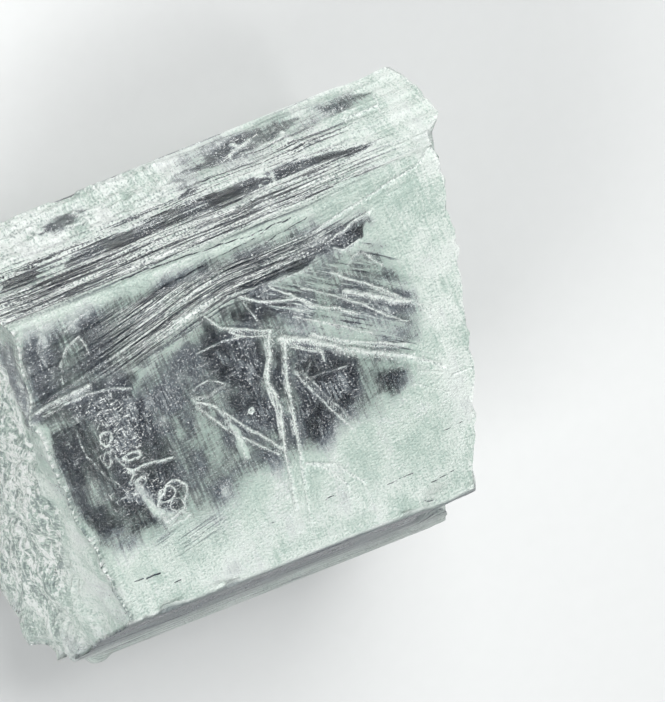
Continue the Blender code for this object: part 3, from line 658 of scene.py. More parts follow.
def flank_detail(x, v, face):
    """Relief and marks of the other four faces: growth steps along X and uneven clear bands.

    Steps are round(5 n) / 5 of a slow cloud n across the face, mixed with 0.35 of n itself."""
    steps = cloud(0.03 * x, 0.55 * v, face, 71, 1)
    terrace = np.round(steps * 5.0) / 5.0
    relief = 0.16 * (0.35 * steps + 0.65 * terrace) + 0.05 * cloud(0.12 * x, 2.2 * v, face, 73, 3)
    # A little whiter frost with painted highlight on these faces
    marks = {"etch": 1.0, "aside": FAR_OFF, "beside": FAR_OFF, "streak": 0.4, "fleck": 0.2, "frost_and_highlight": 0.3}
    if face == BACK:
        marks["clear"] = 0.4 * area_field(x, v + 0.3 * cloud(0.2 * x, v, 0.0, 81, 2), BACK_CLEAR)
        marks["streak"] = 0.55
        # Painted shade over the back bevel's part nearest the wide face: full within 5.5 mm, none past 10.5 mm
        marks["deep"] = soft_step(10.5, 5.5, v)
    else:
        marks["clear"] = soft_step(-0.3, 0.3, cloud(0.08 * x, 0.5 * v, face, 75, 3))
    return relief, marks


def body_points(skin):
    """X, Y and Z of the prism's sides, from the left break to the right one and round the section.

    X is L + t (R - L) plus the reliefs of both breaks, each fading by exp(-(distance / 0.9)^2). Y and Z are
    corner + part * (next corner - corner), the corners being splayed and the wide face's front one raised."""
    base_y, base_z = skin.base().T
    start, end = left_end(base_y, base_z), right_end(base_y, base_z)
    t = np.linspace(0.0, 1.0, SIDE_RINGS)[:, None]
    x = start + t * (end - start)
    far_left, far_right = (x - start) / 0.9, (end - x) / 0.9
    x = x - left_rough(base_y, base_z) * np.exp(-far_left ** 2)
    x = x + right_rough(base_y, base_z) * np.exp(-far_right ** 2)
    lift = rise_at(x)
    ys = [splayed(x, corner_y) for corner_y in skin.corners[:, 0]]
    zs = [np.full(x.shape, corner_z) for corner_z in skin.corners[:, 1]]
    ys[1] = splayed(x, skin.corners[1, 0] - 0.5 / SIN60 * lift)
    zs[1] = skin.corners[1, 1] + lift
    corners = np.stack([ys, zs], axis=-1)
    column = np.arange(len(skin.face))
    here = corners[skin.face, :, column]
    following = corners[(skin.face + 1) % 6, :, column]
    section = here + skin.part[:, None, None] * (following - here)
    return x, section[..., 0].T, section[..., 1].T


def side_detail(skin, x, y, z):
    """Relief and marks of the sides, face by face, and Z with the wide face raised by its ledges.

    Relief fades to none at the corners. Along them a wear mark is exp(-(distance / 0.12)^2) times a cloud,
    and chips sink by 0.45 exp(-(distance / 0.35)^2) where another cloud is high. The rest face only sinks."""
    marks = np.zeros(x.shape + (len(MARKS),))
    marks[..., [AT["aside"], AT["beside"]]] = FAR_OFF
    relief = np.zeros(x.shape)
    z = z.copy()
    for face in range(6):
        cols = skin.face == face
        own_x, own_y = x[:, cols], y[:, cols]
        from_edge = np.broadcast_to((skin.left if face == BACK else skin.along)[cols], own_x.shape)
        if face == WIDE:
            z[:, cols] = HEIGHT + ledges(own_x, own_y)
            relief[:, cols], found = top_detail(own_x, own_y)
        elif face == BEVEL:
            relief[:, cols], found = bevel_detail(own_x, from_edge)
        else:
            relief[:, cols], found = flank_detail(own_x, from_edge, face)
        for name, values in found.items():
            marks[:, cols, AT[name]] = values
    near_edge = np.minimum(skin.along, skin.left)
    worn = 0.5 + 0.5 * cloud(0.8 * x, 0.8 * skin.around, 0.0, 93, 2)
    marks[..., AT["edge"]] = np.exp(-(near_edge / 0.12) ** 2) * worn
    rest = skin.face == REST
    relief[:, rest] = np.minimum(0.0, 0.25 * relief[:, rest])
    relief *= soft_step(0.0, 0.12, near_edge)
    flaked = soft_step(0.30, 0.75, cloud(0.55 * x, 1.3 * skin.around, 0.0, 91, 3))
    relief -= 0.45 * (flaked * np.exp(-(near_edge / 0.35) ** 2)) * ~rest
    return relief, z, marks


def break_rings(rim, surface, count):
    """Rings of a broken end from its rim inwards, and its middle point.

    The section shrinks to its samples' mean by rho = 1 - (k / n)^1.15. X is the break's surface there, plus what
    the rim has beyond it, fading by exp(-(10 (1 - rho))^2)."""
    rim_x, rim_y, rim_z = rim
    middle = rim_y.mean(), rim_z.mean()
    rho = 1.0 - (np.arange(1, count)[:, None] / count) ** 1.15
    y = middle[0] + rho * (rim_y - middle[0])
    z = middle[1] + rho * (rim_z - middle[1])
    x = surface(y, z) + (rim_x - surface(rim_y, rim_z)) * np.exp(-((1.0 - rho) * 10.0) ** 2)
    return np.stack([x, y, z], axis=-1), np.array([surface(*middle), *middle])


def break_marks(shape, grit):
    """Marks of a broken end: no channel near, granular by grit, and whiter frost with painted highlight by 1 -
    grit.
    """
    marks = np.zeros(shape + (len(MARKS),))
    marks[..., AT["etch"]] = 1.0
    marks[..., [AT["aside"], AT["beside"]]] = FAR_OFF
    marks[..., AT["grit"]] = grit
    marks[..., AT["frost_and_highlight"]] = 1.0 - grit
    return marks


def left_break_marks(rings):
    """Marks of the left break with a smooth band under the wide face, brighter by painted highlight: a soft step
    of Z times one of Y.

    The rings close high up, where most of the rim's samples lie. The band is worked out on them from the rim
    inwards and laid from there outwards."""
    y, z = rings[..., 1], rings[..., 2]
    band = soft_step(14.0, 17.5, z + 2.0 * cloud(0.35 * y, 0.3 * z, 0.0, 92, 2)) * soft_step(13.0, 7.0, y)
    high = soft_step(-4.0, 5.0, y)
    marks = break_marks(y.shape, 1.0 - 0.65 * band)
    marks[..., AT["clear"]] = 0.5 * band * high
    marks[..., AT["frost_and_highlight"]] *= 1.0 - 0.8 * high
    return marks


def crystal_surface():
    """The whole crystal's skin, grid of points, their marks and its two poles.

    The grid is left break, sides and right break, shifted by shift * exp(-(distance / radius)^4) at each dent.
    Grit is at least exp(-(distance / 0.28)^2) from the left rim, and whiter frost with painted highlight
    exp(-(distance / 0.4)^2) from the right one."""
    skin = Skin()
    x, y, z = body_points(skin)
    relief, z, marks = side_detail(skin, x, y, z)
    outward = skin.outward()
    y = y + relief * outward[:, 0]
    z = np.maximum(z + relief * outward[:, 1], 0.0)
    left, left_pole = break_rings((x[0], y[0], z[0]), left_break, LEFT_RINGS)
    right, right_pole = break_rings((x[-1], y[-1], z[-1]), right_break, RIGHT_RINGS)
    grid = np.concatenate([left[::-1], np.stack([x, y, z], axis=-1), right])

    from_left, from_right = x - x[0], x[-1] - x
    marks[..., AT["grit"]] = np.maximum(marks[..., AT["grit"]], np.exp(-(from_left / 0.28) ** 2))
    rim = soft_step(-0.2, 0.8, from_left + 0.3 * cloud(0.9 * x, 0.9 * y, 0.0, 94, 2))
    marks[..., AT["clear"]] *= 0.35 + 0.65 * rim
    marks[..., AT["frost_and_highlight"]] = np.maximum(marks[..., AT["frost_and_highlight"]], np.exp(-(from_right / 0.4) ** 2))
    marks = np.concatenate([left_break_marks(left), marks, break_marks(right.shape[:2], 0.4)])
    for centre, radius, shift in DENTS:
        away = np.linalg.norm(grid - np.array(centre), axis=-1, keepdims=True) / radius
        grid += np.array(shift) * np.exp(-away ** 4)
    gx, gy, gz = np.moveaxis(grid, -1, 0)
    marks[..., AT["mottle"]] = 0.5 + 0.5 * cloud(0.55 * gx, 0.55 * gy, 0.55 * gz, 95, 4)
    marks[..., AT["lumps"]] = 0.5 + 0.5 * cloud(1.5 * gx, 0.9 * gy, 1.9 * gz, 97, 3)
    return skin, grid, marks, left_pole, right_pole


def new_object(name, mesh, material, smooth_angle=None):
    """Link a finished mesh with its material, shaded smooth except where faces meet past the given angle."""
    mesh.validate()
    mesh.update()
    obj = bpy.data.objects.new(name, mesh)
    bpy.context.scene.collection.objects.link(obj)
    mesh.materials.append(material)
    mesh.shade_smooth()
    if smooth_angle:
        mesh.set_sharp_from_angle(angle=math.radians(smooth_angle))
    return obj


def skin_map(skin, grid, left_pole, right_pole):
    """Each face corner's place on the skin map, and how far the pattern is bent there, in millimetres.

    The map is (x, way round) on the sides and (y, z) on the breaks, divided by MAP_UNIT. The bend is 0.13 of
    a cloud on each axis, on the quads only."""
    rows, cols = grid.shape[:2]
    closed = np.concatenate([grid, grid[:, :1]], axis=1)
    flat = np.zeros((rows, cols + 1, 2))
    flat[..., 0] = closed[..., 0] / MAP_UNIT + SIDES_AT[0]
    flat[..., 1] = np.append(skin.around, skin.girth[-1]) / MAP_UNIT + SIDES_AT[1]
    yz = closed[..., 1:] / MAP_UNIT
    slow = 0.25 * flat * MAP_UNIT
    bend = np.stack([0.13 * cloud(slow[..., 0], slow[..., 1], 0.0, seed, 2) for seed in (98, 99)], axis=-1)
    corners = [(slice(i, rows - 1 + i), slice(j, cols + j)) for i, j in ((0, 0), (1, 0), (1, 1), (0, 1))]
    quads, planar, quad_bend = (np.stack([part[corner] for corner in corners], axis=2)
                                for part in (flat, yz, bend))
    row = np.arange(rows - 1)
    left_rows, right_rows = row < LEFT_RINGS - 1, row >= LEFT_RINGS - 2 + SIDE_RINGS
    quads[left_rows] = planar[left_rows] + LEFT_AT
    quads[right_rows] = planar[right_rows] + RIGHT_AT
    left_tip, right_tip = (np.broadcast_to(pole[1:] / MAP_UNIT, (cols, 2))
                           for pole in (left_pole, right_pole))
    left_fan = np.stack([left_tip, yz[0, :-1], yz[0, 1:]], axis=1) + LEFT_AT
    right_fan = np.stack([right_tip, yz[-1, 1:], yz[-1, :-1]], axis=1) + RIGHT_AT
    uv = np.concatenate([part.reshape(-1, 2) for part in (quads, left_fan, right_fan)])
    bent = np.zeros(uv.shape)
    bent[:quad_bend.size // 2] = quad_bend.reshape(-1, 2)
    return uv, bent


def crystal_mesh():
    """Grid of quads around the crystal, closed by a fan of triangles at each pole, with map and marks."""
    skin, grid, marks, left_pole, right_pole = crystal_surface()
    rows, cols = grid.shape[:2]
    points = np.concatenate([grid.reshape(-1, 3), [left_pole, right_pole]])
    index = np.arange(rows * cols).reshape(rows, cols)
    nxt = np.roll(index, -1, axis=1)
    quads = np.stack([index[:-1], index[1:], nxt[1:], nxt[:-1]], axis=-1).reshape(-1, 4)
    left_fan = np.stack([np.full(cols, rows * cols), index[0], nxt[0]], axis=-1)
    right_fan = np.stack([np.full(cols, rows * cols + 1), nxt[-1], index[-1]], axis=-1)
    loops = np.concatenate([quads.ravel(), left_fan.ravel(), right_fan.ravel()])
    sizes = np.concatenate([np.full(len(quads), 4), np.full(2 * cols, 3)])
    starts = np.concatenate([[0], np.cumsum(sizes)[:-1]])

    mesh = bpy.data.meshes.new("aquamarine_crystal")
    mesh.vertices.add(len(points))
    mesh.vertices.foreach_set("co", ((points + CENTRE) * MM).astype(np.float32).ravel())
    mesh.loops.add(len(loops))
    mesh.loops.foreach_set("vertex_index", loops.astype(np.int32))
    mesh.polygons.add(len(sizes))
    mesh.polygons.foreach_set("loop_start", starts.astype(np.int32))
    mesh.update(calc_edges=True)

    uv, bent = skin_map(skin, grid, left_pole, right_pole)
    mesh.uv_layers.new(name="skin").data.foreach_set("uv", uv.astype(np.float32).ravel())
    place = np.zeros((len(loops), 3), dtype=np.float32)
    place[:, :2] = uv * MAP_UNIT
    place[:, :2] += bent
    mesh.attributes.new("place", "FLOAT_VECTOR", "CORNER").data.foreach_set("vector", place.ravel())
    table = np.concatenate([marks.reshape(-1, len(MARKS)), marks[0, :1], marks[-1, :1]])
    for number, name in enumerate(GROUPS):
        layer = mesh.attributes.new(name, "FLOAT_VECTOR", "POINT")
        layer.data.foreach_set("vector", table[:, 3 * number:3 * number + 3].astype(np.float32).ravel())
    return mesh


# Nodes by what they do: Blender's type, then its settings
STEP = ("ShaderNodeMapRange", {"interpolation_type": "SMOOTHSTEP"})
COAT = ("ShaderNodeMix", {"data_type": "RGBA"})
PLACE = ("ShaderNodeMapping", {"vector_type": "TEXTURE"})
NOISE = ("ShaderNodeTexNoise", {})
ADD, SUBTRACT, MULTIPLY, MULTIPLY_ADD, LARGER, SIZE, POWER, ROOT = (
    ("ShaderNodeMath", {"operation": word})
    for word in ("ADD", "SUBTRACT", "MULTIPLY", "MULTIPLY_ADD", "MAXIMUM", "ABSOLUTE", "POWER", "SQRT"))


def add(tree, recipe, *inputs):
    """Add a node of a type with its settings, and set or link its inputs, in order or by name in one dict.

    An input that is a node stands for that node's first output in use. A plain colour gets a full alpha.
    STEP takes value, low, high and, if not 0 and 1, what it gives at low and at high: 3t^2 - 2t^3 between."""
    kind, settings = recipe
    node = tree.nodes.new(kind)
    for key, value in settings.items():
        setattr(node, key, value)
    named = inputs[0] if inputs and isinstance(inputs[0], dict) else dict(enumerate(inputs))
    for key, value in named.items():
        socket = node.inputs[key]
        if isinstance(value, bpy.types.Node):
            value = next(output for output in value.outputs if output.enabled)
        if isinstance(value, bpy.types.NodeSocket):
            tree.links.new(value, socket)
        else:
            socket.default_value = (*value[:3], 1.0) if socket.type == "RGBA" else value
    return node


def noise(tree, place, grain, turn, detail):
    """Fractal noise of the place in millimetres, turned, then divided by the grain's length and width."""
    turned = (0.0, 0.0, math.radians(turn))
    moved = add(tree, PLACE, {"Vector": place, "Rotation": turned, "Scale": (*grain, 1.0)})
    return add(tree, NOISE, {"Vector": moved, "Scale": 1.0, "Detail": detail, "Roughness": 0.62})


def veins(tree, value, half):
    """Thin winding lines where |noise - 0.5| falls below half, full below 0.3 half."""
    away = add(tree, SIZE, add(tree, SUBTRACT, value, 0.5))
    return add(tree, STEP, away, half, 0.3 * half)


def strongest(tree, *values):
    """The largest of several sockets or numbers."""
    best = values[0]
    for value in values[1:]:
        best = add(tree, LARGER, best, value)
    return best


def times(tree, *values):
    """Product of several sockets or numbers."""
    product = values[0]
    for value in values[1:]:
        product = add(tree, MULTIPLY, product, value)
    return product


def shifted(tree, value, *parts):
    """A value plus amount * (noise - 0.5) for each (noise, amount)."""
    for noise_value, amount in parts:
        value = add(tree, MULTIPLY_ADD, add(tree, SUBTRACT, noise_value, 0.5), amount, value)
    return value


def coated(tree, tone, *coats):
    """A colour under coats of (factor, colour): each adds factor * (its colour - the tone so far)."""
    for factor, colour in coats:
        tone = add(tree, COAT, {"Factor": factor, "A": tone, "B": colour})
    return tone


def etched_beryl(look):
    """Aquamarine (beryl) with naturally etched faces.

    Clear windows let the eye into a slate-blue depth, painted as shade in their tint over the stone's own blue;
    etching frosts the rest to a pale green-white satin, and granular lines of nearly white frost stand out along
    every channel."""
    material = bpy.data.materials.new("etched_beryl")
    material.use_nodes = True
    tree = material.node_tree
    tree.nodes.clear()
    out = add(tree, ("ShaderNodeOutputMaterial", {}))
    mark = {}
    for number, name in enumerate(GROUPS):
        read = add(tree, ("ShaderNodeAttribute", {"attribute_name": name})).outputs["Vector"]
        parts = add(tree, ("ShaderNodeSeparateXYZ", {}), read).outputs
        mark.update(zip(MARKS[3 * number:3 * number + 3], parts))
    place = add(tree, ("ShaderNodeAttribute", {"attribute_name": "place"})).outputs["Vector"]

    # Growth lines along the crystal, slid up to the right in the fan, slanted ones and fine ones across
    slide = add(tree, ("ShaderNodeCombineXYZ", {}), {"Y": mark["slide"]})
    slid = add(tree, ("ShaderNodeVectorMath", {"operation": "SUBTRACT"}), place, slide)
    stria = noise(tree, slid, (6.0, LINE_WIDTH), 0.0, 2.5)
    slanted = noise(tree, place, (3.4, SLANT_WIDTH), -32.0, 3.0)
    across = noise(tree, place, (COMB_WIDTH, 2.6), 8.0, 3.0)
    # Etch grains, two sets of short scratches, and the chunks and worm tracks of the broken ends
    grain = noise(tree, place, (ETCH_GRAIN, ETCH_GRAIN), 0.0, 2.0)
    scratch = noise(tree, place, (0.80, ETCH_GRAIN), 12.0, 2.0)
    cross = noise(tree, place, (ETCH_GRAIN, 0.65), 10.0, 2.0)
    chunk = noise(tree, place, (0.90, 0.42), 8.0, 3.0)
    worm = noise(tree, place, (0.46, 0.32), 12.0, 1.5)
    mottle, lumps = mark["mottle"], mark["lumps"]

    # Distance to the nearest channel: the offset's length near a line, the plain distance far from it
    aside, beside = (add(tree, POWER, mark[name], 2.0) for name in ("aside", "beside"))
    close = add(tree, ROOT, add(tree, ADD, aside, beside))
    far = add(tree, MULTIPLY, mark["etch"], FAR_OFF)
    near = strongest(tree, close, times(tree, far, add(tree, STEP, far, 1.2, 2.4)))
    rough_near = shifted(tree, near, (grain, 4.6), (cross, 2.0), (slanted, 1.6))
    patchy = add(tree, STEP, shifted(tree, mark["force"], (chunk, 1.0), (grain, 0.5)), 0.15, 0.95)
    line = times(tree, add(tree, STEP, rough_near, 1.3, 0.35), patchy)
    # A dusting of frost around each channel and, in the windows, painted shadow along the foot of its rim
    halo = times(tree, mark["force"],
                 add(tree, STEP, shifted(tree, near, (grain, 3.0), (mottle, 3.0)), 4.6, 1.0, 0.0, 0.5))
    rim_shadow = times(tree, add(tree, STEP, near, 3.0, 2.2), add(tree, STEP, near, 1.3, 1.9), mark["force"],
                 add(tree, STEP, mark["clear"], 0.3, 0.7))
    dots = times(tree, add(tree, STEP, near, 4.6, 1.0), add(tree, STEP, grain, 0.58, 0.66), mark["force"])

    # Frost: the veil outside the windows, haze and hair inside them, growth lines, combs and etched flecks
    veil_edge = shifted(tree, mark["clear"], (mottle, 0.9), (grain, 0.4), (across, 0.8), (scratch, 0.5))
    veil = add(tree, STEP, veil_edge, 1.05, 0.0)
    haze = times(tree,
                 add(tree, STEP, shifted(tree, mottle, (lumps, 0.9), (across, 0.7)), 0.36, 0.90, 0.0, 0.72),
                 add(tree, STEP, mark["clear"], 0.95, 0.5, 0.15, 1.0))
    lined = strongest(tree, mark["streak"], mark["fan"])
    stria_rough = shifted(tree, stria, (grain, 0.25))
    bands = strongest(tree, times(tree, lined, add(tree, STEP, stria_rough, 0.50, 0.60)),
                      times(tree, mark["slant"], add(tree, STEP, slanted, 0.44, 0.62, 0.0, 0.8)))
    combs = times(tree, mark["comb"],
                  add(tree, STEP, shifted(tree, across, (mottle, 0.6), (cross, 0.4)), 0.46, 0.72, 0.0, 0.5))
    worms = times(tree, veins(tree, worm, 0.035), add(tree, STEP, grain, 0.42, 0.6, 0.0, 0.8))
    flecks = times(tree, add(tree, STEP, shifted(tree, mark["fleck"], (mottle, 1.6)), 0.35, 1.05),
                   strongest(tree, add(tree, STEP, scratch, 0.60, 0.70), add(tree, STEP, cross, 0.62, 0.72),
                             worms))
    threads = times(tree, lined, veins(tree, stria, 0.018))
    hair = times(tree, add(tree, STEP, mark["clear"], 0.3, 0.7),
                 add(tree, STEP, shifted(tree, lumps, (mottle, 1.0)), 0.38, 0.7),
                 strongest(tree, add(tree, STEP, scratch, 0.54, 0.66), add(tree, STEP, cross, 0.54, 0.66)),
                 0.72, add(tree, STEP, mark["fleck"], 0.25, 0.30, 0.55, 1.0))
    dust = times(tree, add(tree, STEP, mark["clear"], 0.3, 0.6), add(tree, STEP, grain, 0.59, 0.65),
                 add(tree, STEP, mottle, 0.4, 0.6, 0.1, 0.9))
    frost = strongest(tree, veil, haze, line, halo, bands, combs, flecks, hair, mark["grit"],
                      look.least_frost)
    # Grains and pits of the breaks, and painted shade in the slits between growth lines, beside the channels'
    # rims and along the cuts, which the frost leaves open
    gravel = shifted(tree, worm, (chunk, 0.6), (grain, 0.6), (lumps, 0.6))
    # Painted shade in the pits between the grains of the breaks
    pits = add(tree, STEP, gravel, 0.49, 0.33, 0.0, 0.8)
    foot_shade = add(tree, STEP, shifted(tree, cross, (mottle, 0.5)), 0.35, 0.6, 0.0, 0.5)
    slits = strongest(tree, times(tree, lined, add(tree, STEP, stria_rough, 0.49, 0.40)),
                      times(tree, mark["slant"], add(tree, STEP, slanted, 0.42, 0.34, 0.0, 0.7)),
                      times(tree, rim_shadow, foot_shade),
                      add(tree, STEP, shifted(tree, mark["cut"], (grain, 0.6)), 0.55, 0.75))
    frost = add(tree, ("ShaderNodeMath", {"operation": "MULTIPLY", "use_clamp": True}), frost,
                add(tree, MULTIPLY_ADD, slits, -0.75, 1.0))

    # White: the brightest frost, on grains, growth lines, channels and worn edges, and painted highlight on the
    # brighter frost
    sparkle = times(tree, mark["grit"], add(tree, STEP, gravel, 0.50, 0.62))
    frill = times(tree, frost,
                  add(tree, STEP, shifted(tree, scratch, (grain, 0.9), (mottle, 0.8)), 0.55, 0.95, 0.0, 0.8))
    strokes = shifted(tree, mottle, (across, 0.9), (grain, 0.5), (lumps, 0.4))
    # Whiter frost with painted highlight where the mark says so, broken up by strokes
    frost_and_highlight = times(tree, mark["frost_and_highlight"], veil, add(tree, STEP, shifted(tree, strokes, (grain, 0.6)), 0.2, 0.8),
                 0.85)
    strands = times(tree, lined, add(tree, STEP, stria_rough, 0.54, 0.63),
                    add(tree, STEP, grain, 0.38, 0.52))
    bright_line = times(tree, line,
                        add(tree, STEP, shifted(tree, grain, (cross, 0.6)), 0.36, 0.64, 0.15, 1.0))
    white = strongest(tree, bright_line, strands, times(tree, threads, 0.9), times(tree, flecks, 0.95),
                      times(tree, hair, 0.7), sparkle, dots, dust, mark["edge"], frill, frost_and_highlight)
    pale = coated(tree, look.frost_green,
                  (add(tree, STEP, shifted(tree, strokes, (grain, 0.8), (scratch, 0.6)), 0.0, 0.9),
                   look.frost_pale))
    # Window colour: the stone's own blue tint, darkened by painted shade for the dark depth seen through, varied
    # by the mottle
    window = coated(tree, look.window_depth_shade, (add(tree, STEP, mottle, 0.3, 0.7), look.window_tint_and_shade))
    # Painted fine shadow between the grains, strongest on rough places
    grain_shadow = add(tree, STEP, shifted(tree, grain, (scratch, 0.7), (cross, 0.7)), 0.50, 0.30, 0.0, 0.42)
    rough = strongest(tree, times(tree, mark["grit"], 0.4), lined, line, times(tree, mark["frost_and_highlight"], 0.6), 0.3)
    # Tone: window, frost, then painted shade in pits and slits, white frost with painted highlight, painted
    # shadow between grains and the back bevel's painted shade
    tone = coated(tree, window, (frost, pale),
                  (times(tree, add(tree, STEP, mark["grit"], 0.4, 0.9), pits), look.pit_shade_tint),
                  (times(tree, slits, 0.9), look.painted_shade_tint),
                  (white, look.line_white),
                  (times(tree, grain_shadow, rough), look.painted_shade_tint),
                  # the back bevel's painted shade, streaked by the growth lines
                  (times(tree, mark["deep"], add(tree, STEP, stria, 0.65, 0.35, 0.5, 0.95)), look.painted_shade_tint))

    height = times(tree, grain, 0.8)
    for part in (times(tree, stria, lined, 2.0), times(tree, chunk, mark["grit"], 4.0)):
        height = add(tree, ADD, height, part)
    bump = add(tree, ("ShaderNodeBump", {}), {"Strength": 0.9, "Distance": ETCH_GRAIN * MM, "Height": height})

    cover = strongest(tree, frost, times(tree, white, 0.9))
    shader = add(tree, ("ShaderNodeBsdfPrincipled", {}), {
        "Base Color": tone, "IOR": BERYL_IOR, "Normal": bump,
        "Roughness": add(tree, MULTIPLY_ADD, cover, FROST_ROUGHNESS, POLISH),
        "Transmission Weight": add(tree, STEP, cover, 0.0, 1.0, 1.0, look.frost_clearness)})
    depth = add(tree, ("ShaderNodeVolumeAbsorption", {}),
                {"Color": look.depth_tint, "Density": look.depth_density})
    tree.links.new(shader.outputs[0], out.inputs["Surface"])
    tree.links.new(depth.outputs[0], out.inputs["Volume"])
    return material


def studio_paper(colour):
    """Matt seamless paper: nearly no gloss and a faint fibre mottle, so the floor stays quiet."""
    material = bpy.data.materials.new("studio_paper")
    material.use_nodes = True
    tree = material.node_tree
    shader = tree.nodes["Principled BSDF"]
    solid = add(tree, ("ShaderNodeTexCoord", {})).outputs["Object"]
    fibre = add(tree, NOISE, {"Vector": solid, "Scale": 1.0 / (PAPER_MOTTLE * MM), "Detail": 2.0})
    mixed = coated(tree, [0.97 * c for c in colour], (fibre, colour))
    tree.links.new(mixed.outputs["Result"], shader.inputs["Base Color"])
    shader.inputs["Roughness"].default_value = 0.8
    shader.inputs["Specular IOR Level"].default_value = 0.2
    return material


def colour_setting(name, description, text):
    """A colour that the user can change, its default an sRGB hex value turned linear."""
    return bpy.props.FloatVectorProperty(name=name, description=description, subtype="COLOR", size=3,
                                         min=0.0, max=1.0, default=hex_linear(text))


class CrystalLook(bpy.types.PropertyGroup):
    """Colours and clearness of the crystal"""
    frost_green: colour_setting("Frost, green", "Colour of the smooth etched frost", "#aec2b7")
    frost_pale: colour_setting("Frost, pale", "Colour of the thicker frost", "#d9e4da")
    line_white: colour_setting("Channel frost", "Colour of the granular frost along channels", "#f9fcf8")
    # Window colours: the stone's own blue tint darkened by painted shade for the dark depth seen through
    window_tint_and_shade: colour_setting("Window tint", "Tint at the surface of the clear windows", "#6c7090")
    window_depth_shade: colour_setting("Window depth", "Tint of the darkest windows", "#302f41")
    # Painted shade in the pits between the break's grains
    pit_shade_tint: colour_setting("Pit tint", "Colour between the grains of the broken ends", "#7f8d8c")
    # Painted shade: slits, channel rims, cuts, the shadow between grains and the back bevel's band
    painted_shade_tint: colour_setting("Slit tint", "Colour inside the slits between growth lines", "#3c4156")
    depth_tint: colour_setting("Depth tint", "Colour that light keeps on its way through", "#aab8c2")
    depth_density: bpy.props.FloatProperty(
        name="Depth density", description="How quickly light is absorbed, per metre", default=48.0, min=0.0)
    least_frost: bpy.props.FloatProperty(
        name="Least frost", description="Frost left on the clearest windows", default=0.03, min=0.0, max=1.0,
        subtype="FACTOR")
    frost_clearness: bpy.props.FloatProperty(
        name="Frost clearness", description="Share of light that passes into frosted places", default=0.4,
        min=0.0, max=1.0, subtype="FACTOR")


class StageLook(bpy.types.PropertyGroup):
    """Floor, lights and camera distance"""
    floor_colour: colour_setting("Floor", "Colour of the paper floor", "#c4c5c4")
    sky_strength: bpy.props.FloatProperty(
        name="Surround", description="Strength of the even surround light", default=0.31, min=0.0)
    key_power: bpy.props.FloatProperty(
        name="Key light", description="Power of the main softbox", default=2.45, min=0.0, unit="POWER")
    fill_power: bpy.props.FloatProperty(
        name="Fill light", description="Power of the fill softbox", default=1.75, min=0.0, unit="POWER")
    glint_power: bpy.props.FloatProperty(
        name="Glint light", description="Power of the small softbox that catches the etched relief",
        default=0.25, min=0.0, unit="POWER")
    camera_distance: bpy.props.FloatProperty(
        name="Camera distance", description="From the camera to the wide face", default=0.4, min=0.05,
        unit="LENGTH")


class CRYSTAL_OT_build(bpy.types.Operator):
    """Build the etched crystal in place of the plain solid"""
    bl_idname = "crystal.build"
    bl_label = "Build crystal"

    def execute(self, context):
        """Put the dressed mesh on the frame in place of the node."""
        look = context.scene.crystal_look
        piece = new_object("aquamarine_crystal", crystal_mesh(), etched_beryl(look), 48.0)
        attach(piece, "root")
        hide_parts("crystal")
        return {"FINISHED"}


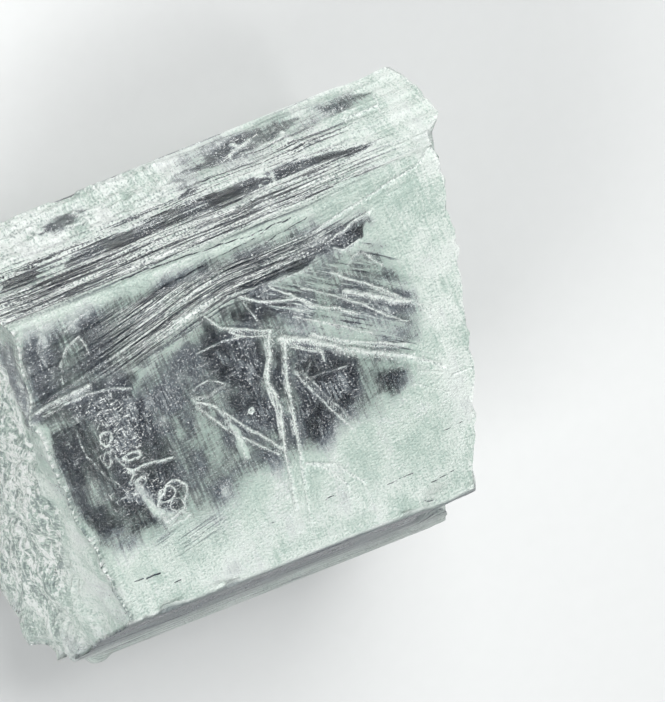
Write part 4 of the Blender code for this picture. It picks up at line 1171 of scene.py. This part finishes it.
class CRYSTAL_OT_stage(bpy.types.Operator):
    """Lay the paper floor, set the softboxes and place the camera"""
    bl_idname = "crystal.stage"
    bl_label = "Build stage"

    def execute(self, context):
        """Floor, softboxes, surround light and camera, in that order."""
        stage = context.scene.crystal_stage
        half = FLOOR_HALF
        mesh = bpy.data.meshes.new("floor")
        mesh.from_pydata([(-half, -half, -FLOOR_GAP), (half, -half, -FLOOR_GAP), (half, half, -FLOOR_GAP),
                          (-half, half, -FLOOR_GAP)], [], [(0, 1, 2, 3)])
        floor = new_object("floor", mesh, studio_paper(stage.floor_colour))
        for name, (place, size) in SOFTBOXES.items():
            self.softbox(name, place, size, getattr(stage, name + "_power"))
        world = bpy.data.worlds.new("surround")
        context.scene.world = world
        world.use_nodes = True
        back = world.node_tree.nodes["Background"]
        back.inputs["Color"].default_value = SKY_COLOUR
        back.inputs["Strength"].default_value = stage.sky_strength
        self.camera(context, stage.camera_distance)
        context.scene.view_settings.view_transform = "Standard"
        return {"FINISHED"}

    @staticmethod
    def softbox(name, place, size, power):
        """A square area light that faces the crystal."""
        light = bpy.data.lights.new(name, "AREA")
        light.shape = "SQUARE"
        light.size = size
        light.energy = power
        obj = bpy.data.objects.new(name, light)
        bpy.context.scene.collection.objects.link(obj)
        obj.location = place
        obj.rotation_euler = (Vector(LIGHTS_AIM) - Vector(place)).to_track_quat("-Z", "Y").to_euler()

    @staticmethod
    def camera(context, distance):
        """Looks down on the wide face, leaning along the crystal and across it, then rolled.

        Focal length = distance / height of the picture on the wide face * sensor width."""
        lean, across, roll = (math.radians(a) for a in (LEAN, ACROSS, ROLL))
        back = Vector((-math.sin(lean), math.cos(lean) * math.sin(across), math.cos(lean) * math.cos(across)))
        along = (Vector((1, 0, 0)) - back.x * back).normalized()
        upward = back.cross(along)
        right = math.cos(roll) * along - math.sin(roll) * upward
        up = math.sin(roll) * along + math.cos(roll) * upward
        data = bpy.data.cameras.new("camera")
        data.sensor_width = SENSOR
        data.lens = distance / (ROW * PICTURE_ROWS) * data.sensor_width
        obj = bpy.data.objects.new("camera", data)
        bpy.context.scene.collection.objects.link(obj)
        target = (Vector(LOOK_AT) + Vector(CENTRE)) * MM
        turn = Matrix((right, up, back)).transposed().to_4x4()
        obj.matrix_world = Matrix.Translation(target + back * distance) @ turn
        context.scene.camera = obj


class CRYSTAL_PT_panel(bpy.types.Panel):
    """Lists the looks and both build steps"""
    bl_idname = "CRYSTAL_PT_panel"
    bl_label = "Etched Crystal"
    bl_space_type = "VIEW_3D"
    bl_region_type = "UI"
    bl_category = "Crystal"

    def draw(self, context):
        """A box of settings for each group, then the two operators."""
        for group in (context.scene.crystal_look, context.scene.crystal_stage):
            box = self.layout.box()
            for name in group.bl_rna.properties.keys():
                if name not in {"rna_type", "name"}:
                    box.prop(group, name)
        self.layout.operator("crystal.build")
        self.layout.operator("crystal.stage")


CLASSES = (CrystalLook, StageLook, CRYSTAL_OT_build, CRYSTAL_OT_stage, CRYSTAL_PT_panel)


def register():
    """Register the classes and hang both groups of settings on the scene."""
    for cls in CLASSES:
        bpy.utils.register_class(cls)
    bpy.types.Scene.crystal_look = bpy.props.PointerProperty(type=CrystalLook)
    bpy.types.Scene.crystal_stage = bpy.props.PointerProperty(type=StageLook)


def unregister():
    """Undo register, last first."""
    del bpy.types.Scene.crystal_stage
    del bpy.types.Scene.crystal_look
    for cls in reversed(CLASSES):
        bpy.utils.unregister_class(cls)


def main():
    """Build everything."""
    register()
    bpy.ops.crystal.build()
    bpy.ops.crystal.stage()


if __name__ == "__main__":
    main()
